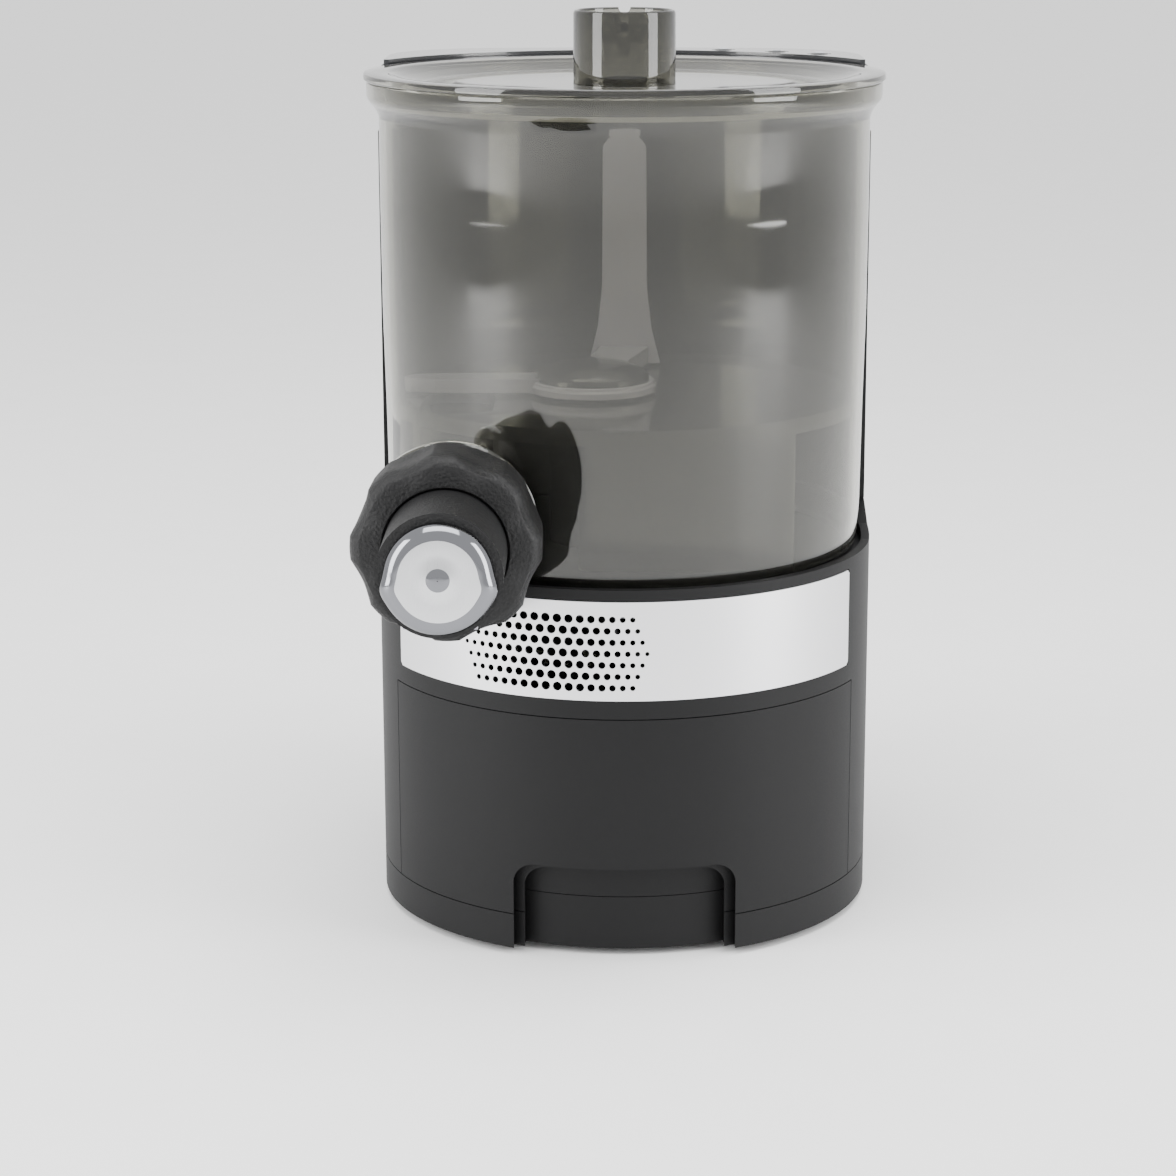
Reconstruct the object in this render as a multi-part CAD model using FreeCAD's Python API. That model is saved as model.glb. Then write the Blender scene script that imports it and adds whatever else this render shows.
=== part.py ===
import FreeCAD, Part
import math
import os
from FreeCAD import Vector

# Electric pasta maker, millimetres, +Z up.
# The pieces are drawn about the bowl's axis and moved along Y when they are written,
# so that the row's origin is the middle of the footprint.

# Whole machine
BODY_RADIUS = 105.0
WALL = 2.8
REAR_CORNER_RADIUS = 52.0
REAR_CORNER_Y = 75.0
BACK_BULGE = 3.0
FRONT_REACH = 184.0
REAR_REACH = 133.0
FRAME_SHIFT = Vector(0.0, (FRONT_REACH - REAR_REACH) / 2.0, 0.0)
SEAM = 0.4

# Tray and feet
FOOT_HEIGHT = 3.0
FOOT_RADIUS = 9.0
FOOT_PLACES = [(-62.0, -58.0), (62.0, -58.0), (-66.0, 88.0), (66.0, 88.0)]
TRAY_TOP = 17.6
TRAY_FLOOR = 5.5
SCREW_PLACES = [(-72.0, -38.0), (72.0, -38.0), (-86.0, 84.0), (86.0, 84.0)]

# Notch at the bottom of the front
NOTCH_HALF_WIDTH = 45.5
NOTCH_TOP = 40.4
NOTCH_INNER_HALF_WIDTH = 41.0
NOTCH_INNER_TOP = 38.4
NOTCH_STEP_RADIUS = 101.0
NOTCH_FACE_RADIUS = 95.3
NOTCH_CORNER = 9.0
NOTCH_LIP_TOP = 25.3
NOTCH_WALL = 2.4

# Front cover and steel band
COVER_TOP = 103.4
COVER_ANGLE = 65.0
COVER_WALL = 2.6
BAND_LOW = 111.5
BAND_HIGH = 152.2
BAND_ANGLE = 62.5
BAND_OUTER = 105.2
BAND_INNER = 104.0

# Vent holes in the band
VENT_ANGLE = -16.15
VENT_Z = 131.0
VENT_ROWS = 7
VENT_ROW_STEP = 4.7
VENT_HALF_LENGTH = 39.5
VENT_PITCH_MIDDLE = 4.8
VENT_PITCH_END = 3.7
VENT_RADIUS_MIDDLE = 1.85
VENT_RADIUS_END = 0.85

# Levels of the base
DECK_LOW = 150.5
DECK_TOP = 154.8
RIM_TOP = 157.0
SIDE_TOP = 166.0
POCKET_RADIUS = 101.4

# Tower behind the bowl
TOWER_LOW = SIDE_TOP + SEAM
TOWER_TOP = 351.8
TOWER_RADIUS = 104.5
TOWER_FRONT_Y = 28.0
CROWN_LOW = 326.0
CROWN_RADIUS = 110.2
CROWN_FRONT_Y = 45.0
PANEL_TOP = 354.8
PANEL_INSET = 1.6
BACK_COVER_HALF_WIDTH = 50.0
BACK_COVER_LOW = 60.0
BACK_COVER_HIGH = 322.0

# Bowl
BOWL_WALL = 2.6
BOWL_OUTSIDE = [(96.4, 155.0), (98.6, 156.6), (99.6, 160.0), (100.3, 172.0), (100.9, 215.0),
                (101.7, 252.0), (102.0, 336.0), (107.0, 343.0), (107.0, 350.0)]
BOWL_FOOT_INSIDE = 93.4
FLOOR_LOW = 213.8
FLOOR_TOP = 218.0
FLOOR_RIM_TOP = 220.0
FLOOR_RADIUS = 98.0

# Lid and feed tube
LID_RADIUS = 108.1
LID_TOP = 353.2
LID_RIM_LOW = 350.3
TUBE_OUTER = 21.25
TUBE_INNER = 19.2
TUBE_TOP = 378.2
TUBE_LOW = 337.0
TUBE_NOTCH = 5.0

# Drive train: module, teeth, levels and centres
MODULE = 1.5
PRESSURE_ANGLE = 20.0
BACKLASH = 0.24
PADDLE_TEETH = 51
AUGER_TEETH = 30
REDUCTION_PINION_TEETH = 12
REDUCTION_WHEEL_TEETH = 48
MOTOR_TEETH = 10
PADDLE_AXIS = (-13.5, 0.0)
AUGER_DIRECTION = 156.0
REDUCTION_DIRECTION = 70.0
MOTOR_DIRECTION = 20.0
PLATE_LOW = 100.0
PLATE_THICK = 4.0
UPPER_PLATE_LOW = 134.0
LOWER_GEAR_LOW = 108.0
LOWER_GEAR_HIGH = 116.0
UPPER_GEAR_LOW = 119.0
UPPER_GEAR_HIGH = 129.0
SHAFT_RADIUS = 6.0
BEARING_OUTER = 11.0
BEARING_INNER_CLEARANCE = 0.05
MOTOR_RADIUS = 36.0
MOTOR_LOW = 24.0

# Turret under the bowl's floor
TURRET_TOP = 211.8
TURRET_LEFT = -19.0
TURRET_RIGHT = 69.0
TURRET_HALF_DEPTH = 62.0
TURRET_CORNER = 5.5
TURRET_BOSS_RADIUS = 19.0

# Auger and its barrel, on an axis along Y
AUGER_Z = 180.0
BARREL_OUTER = 25.5
BARREL_INNER = 22.5
AUGER_RADIUS = 22.0
AUGER_CORE = 8.0
AUGER_PITCH = 19.0
NECK_RADIUS = 29.5
NECK_BACK = -93.5
NECK_FRONT = -124.0
FEED_LENGTH = 48.0
FEED_HALF_WIDTH = 15.0
FEED_MIDDLE_Y = -24.0

# Bevel pair that turns the drive through a right angle
BEVEL_TEETH = 16
BEVEL_PITCH_RADIUS = 14.0
BEVEL_TIP_RADIUS = 15.3
BEVEL_ROOT_RADIUS = 12.1
BEVEL_FACE_SHARE = 0.62

# Nut, die head and steel cap
NUT_RADIUS = 37.4
NUT_SHOULDER_RADIUS = 36.8
NUT_REAR_RADIUS = 33.0
NUT_SHOULDER = 6.0
NUT_FRONT = -135.0
NUT_BACK = -97.0
NUT_BORE = 29.9
NUT_HOLE = 24.5
NUT_FLUTES = 8
FLUTE_RADIUS = 16.0
FLUTE_DEPTH = 2.4
DIE_FLANGE = 29.2
DIE_RADIUS = 24.0
DIE_BORE = 21.0
DIE_FRONT = -176.0
CAP_FRONT = -183.0
CAP_UPPER = 20.6
CAP_LOWER = 22.4
RIVET_RADIUS = 4.5

# Mixing paddle
PADDLE_REACH = 80.0
PADDLE_LOW = 219.6
PADDLE_ARM_TOP = 227.0
BLADE_TOP = 322.0
BLADE_Y = 70.0
HUB_RADIUS = 27.0
CAP_DOME_RADIUS = 24.0


def spot(centre, distance, degrees):
    angle = math.radians(degrees)
    return (centre[0] + distance * math.cos(angle), centre[1] + distance * math.sin(angle))


def mesh_distance(teeth_a, teeth_b):
    return MODULE * (teeth_a + teeth_b) / 2.0


AUGER_AXIS = spot(PADDLE_AXIS, mesh_distance(PADDLE_TEETH, AUGER_TEETH), AUGER_DIRECTION)
REDUCTION_AXIS = spot(PADDLE_AXIS, mesh_distance(PADDLE_TEETH, REDUCTION_PINION_TEETH),
                      REDUCTION_DIRECTION)
MOTOR_AXIS = spot(REDUCTION_AXIS, mesh_distance(REDUCTION_WHEEL_TEETH, MOTOR_TEETH),
                  MOTOR_DIRECTION)
AUGER_X = AUGER_AXIS[0]
BEVEL_APEX = Vector(AUGER_X, AUGER_AXIS[1], AUGER_Z)


# Plain shapes used by every piece
def rod(radius, low, high, x=0.0, y=0.0):
    return Part.makeCylinder(radius, high - low, Vector(x, y, low))


def rod_y(radius, front, back, x=AUGER_X, z=AUGER_Z):
    return Part.makeCylinder(radius, back - front, Vector(x, front, z), Vector(0, 1, 0))


def ring(outer, inner, low, high, x=0.0, y=0.0):
    return rod(outer, low, high, x, y).cut(rod(inner, low - 1.0, high + 1.0, x, y))


def ring_y(outer, inner, front, back, x=AUGER_X, z=AUGER_Z):
    return rod_y(outer, front, back, x, z).cut(rod_y(inner, front - 1.0, back + 1.0, x, z))


def block(x0, x1, y0, y1, z0, z1):
    return Part.makeBox(x1 - x0, y1 - y0, z1 - z0, Vector(x0, y0, z0))


def prism(points, low, high):
    corners = [Vector(x, y, low) for x, y in points]
    face = Part.Face(Part.makePolygon(corners + corners[:1]))
    return face.extrude(Vector(0, 0, high - low))


def upright(points, front, back):
    corners = [Vector(x, front, z) for x, z in points]
    face = Part.Face(Part.makePolygon(corners + corners[:1]))
    return face.extrude(Vector(0, back - front, 0))


def turned(points, x=0.0, y=0.0):
    corners = [Vector(radius, 0, z) for radius, z in points]
    face = Part.Face(Part.makePolygon(corners + corners[:1]))
    solid = face.revolve(Vector(0, 0, 0), Vector(0, 0, 1), 360)
    solid.translate(Vector(x, y, 0))
    return solid


def joined(shapes):
    whole = shapes[0]
    for shape in shapes[1:]:
        whole = whole.fuse(shape)
    return whole.removeSplitter()


def hexagon(radius, low, high, x, y):
    points = [spot((x, y), radius, 60.0 * k) for k in range(6)]
    return prism(points, low, high)


def rounded_plate(x0, x1, y0, y1, low, high, corner):
    plate = block(x0, x1, y0, y1, low, high)
    edges = [edge for edge in plate.Edges if abs(edge.tangentAt(edge.FirstParameter).z) > 0.9]
    return plate.makeFillet(corner, edges)


def screws(places, head_radius, head_low, head_high, shank_radius, shank_top):
    made = []
    for x, y in places:
        head = rod(head_radius, head_low, head_high, x, y)
        shank = rod(shank_radius, head_high, shank_top, x, y)
        cross = block(x - 0.4, x + 0.4, y - head_radius * 0.6, y + head_radius * 0.6,
                      head_low, head_low + 0.8)
        made.append(head.fuse(shank).cut(cross))
    return Part.makeCompound(made)


# Plan of the body: a half circle in front, straight sides, round corners, bulged back
def plan(inset, low, high):
    half = BODY_RADIUS - inset
    corner = REAR_CORNER_RADIUS - inset
    corner_x = BODY_RADIUS - REAR_CORNER_RADIUS
    back = REAR_CORNER_Y + corner
    diagonal = corner * math.sqrt(0.5)
    edges = [
        Part.Arc(Vector(-half, 0, low), Vector(0, -half, low), Vector(half, 0, low)).toShape(),
        Part.makeLine(Vector(half, 0, low), Vector(half, REAR_CORNER_Y, low)),
        Part.Arc(Vector(half, REAR_CORNER_Y, low),
                 Vector(corner_x + diagonal, REAR_CORNER_Y + diagonal, low),
                 Vector(corner_x, back, low)).toShape(),
        Part.Arc(Vector(corner_x, back, low), Vector(0, back + BACK_BULGE, low),
                 Vector(-corner_x, back, low)).toShape(),
        Part.Arc(Vector(-corner_x, back, low),
                 Vector(-corner_x - diagonal, REAR_CORNER_Y + diagonal, low),
                 Vector(-half, REAR_CORNER_Y, low)).toShape(),
        Part.makeLine(Vector(-half, REAR_CORNER_Y, low), Vector(-half, 0, low)),
    ]
    return Part.Face(Part.Wire(edges)).extrude(Vector(0, 0, high - low))


# A piece of the round front between two angles, measured from straight ahead
def front_arc(outer, inner, first, last, low, high):
    slab = ring(outer, inner, low, high)
    reach = 3.0 * BODY_RADIUS
    steps = 6
    corners = [(0.0, 0.0)]
    for k in range(steps + 1):
        angle = math.radians(first + (last - first) * k / steps)
        corners.append((reach * math.sin(angle), -reach * math.cos(angle)))
    return slab.common(prism(corners, low - 1.0, high + 1.0))


def notch_space(half_width, top, radius, low):
    shape = block(-half_width, half_width, -BODY_RADIUS - 10.0, -60.0, low - 20.0, top)
    edges = [edge for edge in shape.Edges
             if abs(edge.tangentAt(edge.FirstParameter).y) > 0.9 and edge.BoundBox.ZMin > low]
    shape = shape.makeFillet(NOTCH_CORNER, edges)
    shape = shape.common(block(-half_width, half_width, -BODY_RADIUS - 10.0, -60.0, low, top))
    return shape.cut(rod(radius, low - 1.0, top + 1.0))


def notch_hollow(low):
    outer = notch_space(NOTCH_HALF_WIDTH, NOTCH_TOP, NOTCH_STEP_RADIUS, low)
    inner = notch_space(NOTCH_INNER_HALF_WIDTH, NOTCH_INNER_TOP, NOTCH_FACE_RADIUS, low)
    return outer.fuse(inner)


def notch_shell(low, high):
    grown = notch_space(NOTCH_HALF_WIDTH + NOTCH_WALL, NOTCH_TOP + NOTCH_WALL,
                        NOTCH_FACE_RADIUS - NOTCH_WALL, low)
    grown = grown.common(rod(BODY_RADIUS - 0.01, low, high))
    return grown.cut(notch_hollow(low - 2.0))


# Tray, feet and the screws that hold the tray
def base_tray():
    tray = plan(0.0, FOOT_HEIGHT, TRAY_TOP).cut(plan(WALL, TRAY_FLOOR, TRAY_TOP + 1.0))
    shell = notch_shell(FOOT_HEIGHT, NOTCH_LIP_TOP)
    keep_low = rod(2.0 * BODY_RADIUS, FOOT_HEIGHT, TRAY_TOP)
    keep_lip = rod(NOTCH_FACE_RADIUS + 0.01, FOOT_HEIGHT, NOTCH_LIP_TOP)
    keep_lip = keep_lip.common(block(-NOTCH_INNER_HALF_WIDTH, NOTCH_INNER_HALF_WIDTH,
                                     -BODY_RADIUS, 0.0, FOOT_HEIGHT, NOTCH_LIP_TOP))
    tray = tray.fuse(shell.common(keep_low.fuse(keep_lip)))
    tray = tray.cut(notch_hollow(FOOT_HEIGHT - 1.0))
    for x, y in SCREW_PLACES:
        tray = tray.fuse(rod(5.0, TRAY_FLOOR - 1.0, TRAY_TOP, x, y))
        tray = tray.cut(rod(1.8, 0.0, TRAY_TOP + 1.0, x, y))
        tray = tray.cut(rod(3.6, 0.0, FOOT_HEIGHT + 4.0, x, y))
    slots = [block(-30.0 + 10.0 * k, -26.0 + 10.0 * k, 20.0, 70.0, 0.0, TRAY_FLOOR + 1.0)
             for k in range(7)]
    return tray.cut(Part.makeCompound(slots)).removeSplitter()


def rubber_feet():
    feet = []
    for x, y in FOOT_PLACES:
        foot = turned([(0.0, 0.0), (FOOT_RADIUS - 1.0, 0.0), (FOOT_RADIUS, 1.0),
                       (FOOT_RADIUS, FOOT_HEIGHT), (0.0, FOOT_HEIGHT)], x, y)
        feet.append(foot)
    return Part.makeCompound(feet)


def tray_screws():
    return screws(SCREW_PLACES, 3.4, FOOT_HEIGHT + 1.0, FOOT_HEIGHT + 4.0, 1.7, TRAY_TOP + 10.0)


# Base housing: walls, deck, rim round the bowl and the bosses that the tray screws reach
def base_housing():
    low = TRAY_TOP + SEAM
    shell = plan(0.0, low, SIDE_TOP).cut(plan(WALL, low - 1.0, DECK_LOW))
    shell = shell.cut(rod(POCKET_RADIUS, DECK_TOP, SIDE_TOP + 1.0))
    duct = plan(WALL, low, SIDE_TOP + 1.0).cut(rod(TOWER_RADIUS + WALL, low - 1.0, SIDE_TOP + 2.0))
    duct = duct.common(block(-BODY_RADIUS, BODY_RADIUS, TOWER_FRONT_Y + WALL, 200.0,
                             low, SIDE_TOP + 1.0))
    shell = shell.cut(duct)
    above = [(-130.0, RIM_TOP), (-12.0, RIM_TOP), (8.0, RIM_TOP + 2.5), (20.0, SIDE_TOP - 2.5),
             (TOWER_FRONT_Y, SIDE_TOP), (TOWER_FRONT_Y, SIDE_TOP + 9.0),
             (-130.0, SIDE_TOP + 9.0)]
    corners = [Vector(-130.0, y, z) for y, z in above]
    slope = Part.Face(Part.makePolygon(corners + corners[:1])).extrude(Vector(260.0, 0, 0))
    shell = shell.cut(slope)
    shell = shell.cut(front_arc(BODY_RADIUS + 5.0, BODY_RADIUS - 6.0, -COVER_ANGLE - 0.25,
                                COVER_ANGLE + 0.25, low - 1.0, COVER_TOP + SEAM))
    shell = shell.cut(front_arc(BODY_RADIUS + 5.0, BAND_INNER, -BAND_ANGLE - 0.1,
                                BAND_ANGLE + 0.1, BAND_LOW - 0.2, BAND_HIGH + 0.2))
    vent_half = math.degrees(VENT_HALF_LENGTH / BODY_RADIUS)
    rows_half = VENT_ROW_STEP * (VENT_ROWS - 1) / 2.0
    shell = shell.cut(front_arc(BODY_RADIUS, BODY_RADIUS - 6.0, VENT_ANGLE - vent_half - 0.6,
                                VENT_ANGLE + vent_half + 0.6, VENT_Z - rows_half - 2.5,
                                VENT_Z + rows_half + 2.5))
    barrel_room = rod_y(BARREL_OUTER + 1.4, -BODY_RADIUS - 5.0, BARREL_BACK + 3.0)
    shell = shell.cut(barrel_room)
    for x, y in SCREW_PLACES:
        wing = rod(5.0, low, low + 14.0, x, y)
        arm = block(min(x, math.copysign(BODY_RADIUS - 1.0, x)),
                    max(x, math.copysign(BODY_RADIUS - 1.0, x)), y - 1.5, y + 1.5, low, low + 14.0)
        arm = arm.common(plan(1.0, low, low + 14.0)).cut(rod(5.0, low - 1.0, low + 15.0, x, y))
        if y < 0.0:
            arm = block(x - 1.5, x + 1.5, y, 0.0, low, low + 14.0).cut(
                rod(5.0, low - 1.0, low + 15.0, x, y))
            arm = arm.fuse(block(min(x, math.copysign(BODY_RADIUS - 1.0, x)),
                                 max(x, math.copysign(BODY_RADIUS - 1.0, x)), -3.0, 0.0,
                                 low, low + 14.0))
        shell = shell.fuse(wing.fuse(arm))
        shell = shell.cut(rod(1.7, low - 1.0, low + 10.0, x, y))
    shell = shell.cut(rod(BEARING_OUTER + 1.0, DECK_LOW - 1.0, DECK_TOP + 1.0, *PADDLE_AXIS))
    shell = shell.cut(rod(BEARING_OUTER, DECK_LOW - 1.0, DECK_TOP + 1.0, *AUGER_AXIS))
    for x, y in FRAME_BOLTS:
        shell = shell.cut(rod(3.0, DECK_LOW - 1.0, DECK_LOW + 2.5, x, y))
    shell = shell.cut(back_cover_block(0.4, 4.0))
    shell = shell.cut(rod_y(GLAND_RADIUS, 100.0, 140.0, GLAND_X, GLAND_Z))
    return shell.removeSplitter()


# Front cover with its inner lip and the pocket of the notch
def front_cover():
    low = TRAY_TOP + SEAM
    panel = front_arc(BODY_RADIUS, BODY_RADIUS - COVER_WALL, -COVER_ANGLE, COVER_ANGLE,
                      low, COVER_TOP)
    lip_outer = BODY_RADIUS - COVER_WALL
    lip = front_arc(lip_outer, lip_outer - 2.0, -COVER_ANGLE - 2.2, COVER_ANGLE + 2.2,
                    low, COVER_TOP + 4.0)
    lip = lip.cut(front_arc(lip_outer + 1.0, lip_outer - 3.0, -COVER_ANGLE + 3.0,
                            COVER_ANGLE - 3.0, low + 4.0, COVER_TOP - 4.0))
    lip = lip.common(rod(BODY_RADIUS - WALL - 0.02, low, COVER_TOP + 5.0).fuse(
        front_arc(lip_outer, lip_outer - 2.0, -COVER_ANGLE, COVER_ANGLE, low, COVER_TOP)))
    cover = panel.fuse(lip).fuse(notch_shell(low, NOTCH_TOP + NOTCH_WALL))
    cover = cover.cut(notch_hollow(low - 1.0))
    lip_room = block(-NOTCH_INNER_HALF_WIDTH - 0.3, NOTCH_INNER_HALF_WIDTH + 0.3, -110.0, -60.0,
                     0.0, NOTCH_LIP_TOP + 0.3)
    return cover.cut(lip_room.common(rod(NOTCH_FACE_RADIUS + 0.1, 0.0, 60.0))).removeSplitter()


def vent_places():
    places = []
    for row in range(VENT_ROWS):
        k = row - (VENT_ROWS - 1) / 2.0
        share = abs(k) / (VENT_ROWS * 0.6)
        limit = VENT_HALF_LENGTH * (1.0 - share ** 3) ** (1.0 / 3.0)
        place = 0.0 if row % 2 else VENT_PITCH_MIDDLE / 2.0
        while place <= limit:
            for side in ((1.0,) if place == 0.0 else (-1.0, 1.0)):
                places.append((side * place, VENT_Z + k * VENT_ROW_STEP))
            shrink = (VENT_PITCH_MIDDLE - VENT_PITCH_END) * place / VENT_HALF_LENGTH
            place += VENT_PITCH_MIDDLE - shrink
    return places


def vent_band():
    band = front_arc(BAND_OUTER, BAND_INNER, -BAND_ANGLE, BAND_ANGLE, BAND_LOW, BAND_HIGH)
    ends = [edge for edge in band.Edges if edge.Length < 1.5]
    band = band.makeChamfer(1.5, ends)
    holes = []
    for place, height in vent_places():
        angle = math.radians(VENT_ANGLE) + place / BODY_RADIUS
        share = (abs(place) / VENT_HALF_LENGTH) ** 1.5
        radius = VENT_RADIUS_MIDDLE - (VENT_RADIUS_MIDDLE - VENT_RADIUS_END) * share
        away = Vector(math.sin(angle), -math.cos(angle), 0.0)
        start = away * (BAND_INNER - 2.0) + Vector(0, 0, height)
        holes.append(Part.makeCylinder(radius, 6.0, start, away))
    return band.cut(Part.makeCompound(holes))


# Fan behind the vent holes
FAN_HALF = 19.0
FAN_INNER_Y = 80.0
FAN_OUTER_Y = 90.0


def fan_placed(shape):
    shape.rotate(Vector(0, 0, 0), Vector(0, 0, 1), VENT_ANGLE)
    return shape


def fan_frame():
    frame = block(-FAN_HALF, FAN_HALF, -FAN_OUTER_Y, -FAN_INNER_Y, VENT_Z - FAN_HALF,
                  VENT_Z + FAN_HALF)
    frame = frame.cut(rod_y(17.6, -FAN_OUTER_Y + 1.5, -FAN_INNER_Y + 1.0, 0.0, VENT_Z))
    frame = frame.cut(ring_y(17.6, 9.0, -FAN_OUTER_Y - 1.0, -FAN_OUTER_Y + 2.0, 0.0, VENT_Z))
    for k in range(3):
        strut = block(-1.2, 1.2, -FAN_OUTER_Y, -FAN_OUTER_Y + 1.5, VENT_Z, VENT_Z + 18.0)
        strut.rotate(Vector(0, 0, VENT_Z), Vector(0, 1, 0), 120.0 * k + 20.0)
        frame = frame.fuse(strut)
    frame = frame.fuse(rod_y(1.45, -FAN_OUTER_Y + 1.0, -FAN_INNER_Y, 0.0, VENT_Z))
    post = block(-8.0, 8.0, -FAN_OUTER_Y, -FAN_INNER_Y, VENT_Z + FAN_HALF, DECK_LOW)
    return fan_placed(frame.fuse(post).removeSplitter())


def fan_rotor():
    hub = rod_y(8.0, -FAN_OUTER_Y + 2.2, -FAN_INNER_Y - 0.6, 0.0, VENT_Z)
    rotor = hub
    for k in range(7):
        blade = block(-0.7, 0.7, -FAN_OUTER_Y + 2.6, -FAN_INNER_Y - 1.0, VENT_Z + 7.0,
                      VENT_Z + 16.6)
        blade.rotate(Vector(0, -0.5 * (FAN_OUTER_Y + FAN_INNER_Y), VENT_Z), Vector(0, 0, 1), 38.0)
        blade = blade.common(block(-8, 8, -FAN_OUTER_Y + 2.6, -FAN_INNER_Y - 1.0, VENT_Z,
                                   VENT_Z + 20.0))
        blade.rotate(Vector(0, 0, VENT_Z), Vector(0, 1, 0), 360.0 * k / 7.0)
        rotor = rotor.fuse(blade)
    rotor = rotor.cut(rod_y(1.5, -FAN_OUTER_Y, -FAN_INNER_Y + 1.0, 0.0, VENT_Z))
    return fan_placed(rotor.removeSplitter())


# Gears
def involute(angle):
    return math.tan(angle) - angle


def gear(teeth, phase, addendum, low, high, centre, bore):
    pitch = MODULE * teeth / 2.0
    base = pitch * math.cos(math.radians(PRESSURE_ANGLE))
    root = pitch - 1.25 * MODULE
    tip = pitch + addendum
    half = math.pi / (2.0 * teeth) - BACKLASH / (4.0 * pitch)
    half += involute(math.radians(PRESSURE_ANGLE))
    start = max(base, root + 0.1)
    radii = [start + (tip - start) * share for share in (0.0, 0.35, 0.7, 1.0)]
    flank = [(radius, half - involute(math.acos(min(1.0, base / radius)))) for radius in radii]
    flank = [(root, flank[0][1] + 0.002)] + flank
    points = []
    for k in range(teeth):
        middle = math.radians(phase) + 2.0 * math.pi * k / teeth
        for radius, away in flank:
            points.append((centre[0] + radius * math.cos(middle - away),
                           centre[1] + radius * math.sin(middle - away)))
        for radius, away in reversed(flank):
            points.append((centre[0] + radius * math.cos(middle + away),
                           centre[1] + radius * math.sin(middle + away)))
    wheel = prism(points, low, high)
    return wheel.cut(rod(bore, low - 1.0, high + 1.0, *centre))


# Phase of a gear that meshes with one whose own phase is known
def meshed_phase(teeth, phase, direction, other_teeth):
    share = ((direction - phase) * teeth / 360.0) % 1.0
    return direction + 180.0 + (share + 0.5) * 360.0 / other_teeth


PADDLE_PHASE = 0.0
AUGER_PHASE = meshed_phase(PADDLE_TEETH, PADDLE_PHASE, AUGER_DIRECTION, AUGER_TEETH)
REDUCTION_PHASE = meshed_phase(PADDLE_TEETH, PADDLE_PHASE, REDUCTION_DIRECTION,
                               REDUCTION_PINION_TEETH)
MOTOR_PHASE = meshed_phase(REDUCTION_WHEEL_TEETH, 0.0, MOTOR_DIRECTION, MOTOR_TEETH)


def lightened(wheel, centre, radius, hole, count, low, high):
    for k in range(count):
        x, y = spot(centre, radius, 360.0 * k / count + 20.0)
        wheel = wheel.cut(rod(hole, low - 1.0, high + 1.0, x, y))
    return wheel


def paddle_wheel():
    wheel = gear(PADDLE_TEETH, PADDLE_PHASE, 1.1, LOWER_GEAR_LOW, LOWER_GEAR_HIGH,
                 PADDLE_AXIS, SHAFT_RADIUS)
    return lightened(wheel, PADDLE_AXIS, 22.0, 6.5, 6, LOWER_GEAR_LOW, LOWER_GEAR_HIGH)


def auger_wheel():
    wheel = gear(AUGER_TEETH, AUGER_PHASE, 1.4, LOWER_GEAR_LOW, LOWER_GEAR_HIGH,
                 AUGER_AXIS, SHAFT_RADIUS)
    return lightened(wheel, AUGER_AXIS, 13.0, 3.2, 5, LOWER_GEAR_LOW, LOWER_GEAR_HIGH)


def reduction_pinion():
    return gear(REDUCTION_PINION_TEETH, REDUCTION_PHASE, 1.4, LOWER_GEAR_LOW - 0.5,
                UPPER_GEAR_LOW, REDUCTION_AXIS, 4.05)


def reduction_wheel():
    wheel = gear(REDUCTION_WHEEL_TEETH, 0.0, 0.9, UPPER_GEAR_LOW, UPPER_GEAR_HIGH,
                 REDUCTION_AXIS, 4.05)
    return lightened(wheel, REDUCTION_AXIS, 21.0, 6.0, 6, UPPER_GEAR_LOW, UPPER_GEAR_HIGH)


def motor_pinion():
    return gear(MOTOR_TEETH, MOTOR_PHASE, 1.4, UPPER_GEAR_LOW - 1.0, UPPER_GEAR_HIGH + 1.0,
                MOTOR_AXIS, 3.0)


# Shafts, their bearings and the fixed axle of the reduction wheels
def paddle_shaft():
    x, y = PADDLE_AXIS
    shaft = rod(SHAFT_RADIUS, PLATE_LOW, TURRET_TOP - 0.4, x, y)
    return shaft.fuse(hexagon(SHAFT_RADIUS, TURRET_TOP - 0.4, FLOOR_TOP + 7.0, x, y)).removeSplitter()


def auger_shaft():
    x, y = AUGER_AXIS
    shaft = rod(SHAFT_RADIUS, PLATE_LOW, DECK_TOP - 0.5, x, y)
    return shaft.fuse(hexagon(5.0, DECK_TOP - 0.5, BEVEL_PINION_LOW + 6.0, x, y)).removeSplitter()


BEVEL_PINION_LOW = 156.0


def bearing(x, y, low):
    body = ring(BEARING_OUTER, SHAFT_RADIUS + BEARING_INNER_CLEARANCE, low, low + PLATE_THICK, x, y)
    groove = ring(9.6, 7.6, low + PLATE_THICK - 0.5, low + PLATE_THICK + 1.0, x, y)
    return body.cut(groove)


def shaft_bearings():
    places = [(PADDLE_AXIS, PLATE_LOW), (PADDLE_AXIS, UPPER_PLATE_LOW),
              (AUGER_AXIS, PLATE_LOW), (AUGER_AXIS, UPPER_PLATE_LOW)]
    return Part.makeCompound([bearing(centre[0], centre[1], low) for centre, low in places])


def shaft_seals():
    x, y = PADDLE_AXIS
    top = ring(11.0, SHAFT_RADIUS + 0.35, TURRET_TOP - 5.0, TURRET_TOP - 1.0, x, y)
    x, y = AUGER_AXIS
    deck = ring(BEARING_OUTER, SHAFT_RADIUS + 0.35, DECK_LOW, DECK_TOP - 1.0, x, y)
    return Part.makeCompound([top, deck])


def reduction_axle():
    return rod(4.0, PLATE_LOW + 0.5, UPPER_PLATE_LOW + PLATE_THICK - 0.5, *REDUCTION_AXIS)


# Two plates, long bolts and spacers that hang the gears and the motor from the deck
FRAME_BOLTS = [(-92.0, -6.0), (-52.0, 58.0), (-4.0, -52.0), (60.0, -8.0), (84.0, 36.0)]


def plate_outline(low, high):
    points = [(-98.0, -14.0), (-12.0, -60.0), (8.0, -60.0), (70.0, -14.0), (92.0, 40.0),
              (88.0, 80.0), (40.0, 92.0), (-50.0, 72.0), (-95.0, 50.0)]
    return prism(points, low, high).common(plan(WALL + 1.0, low, high))


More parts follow.
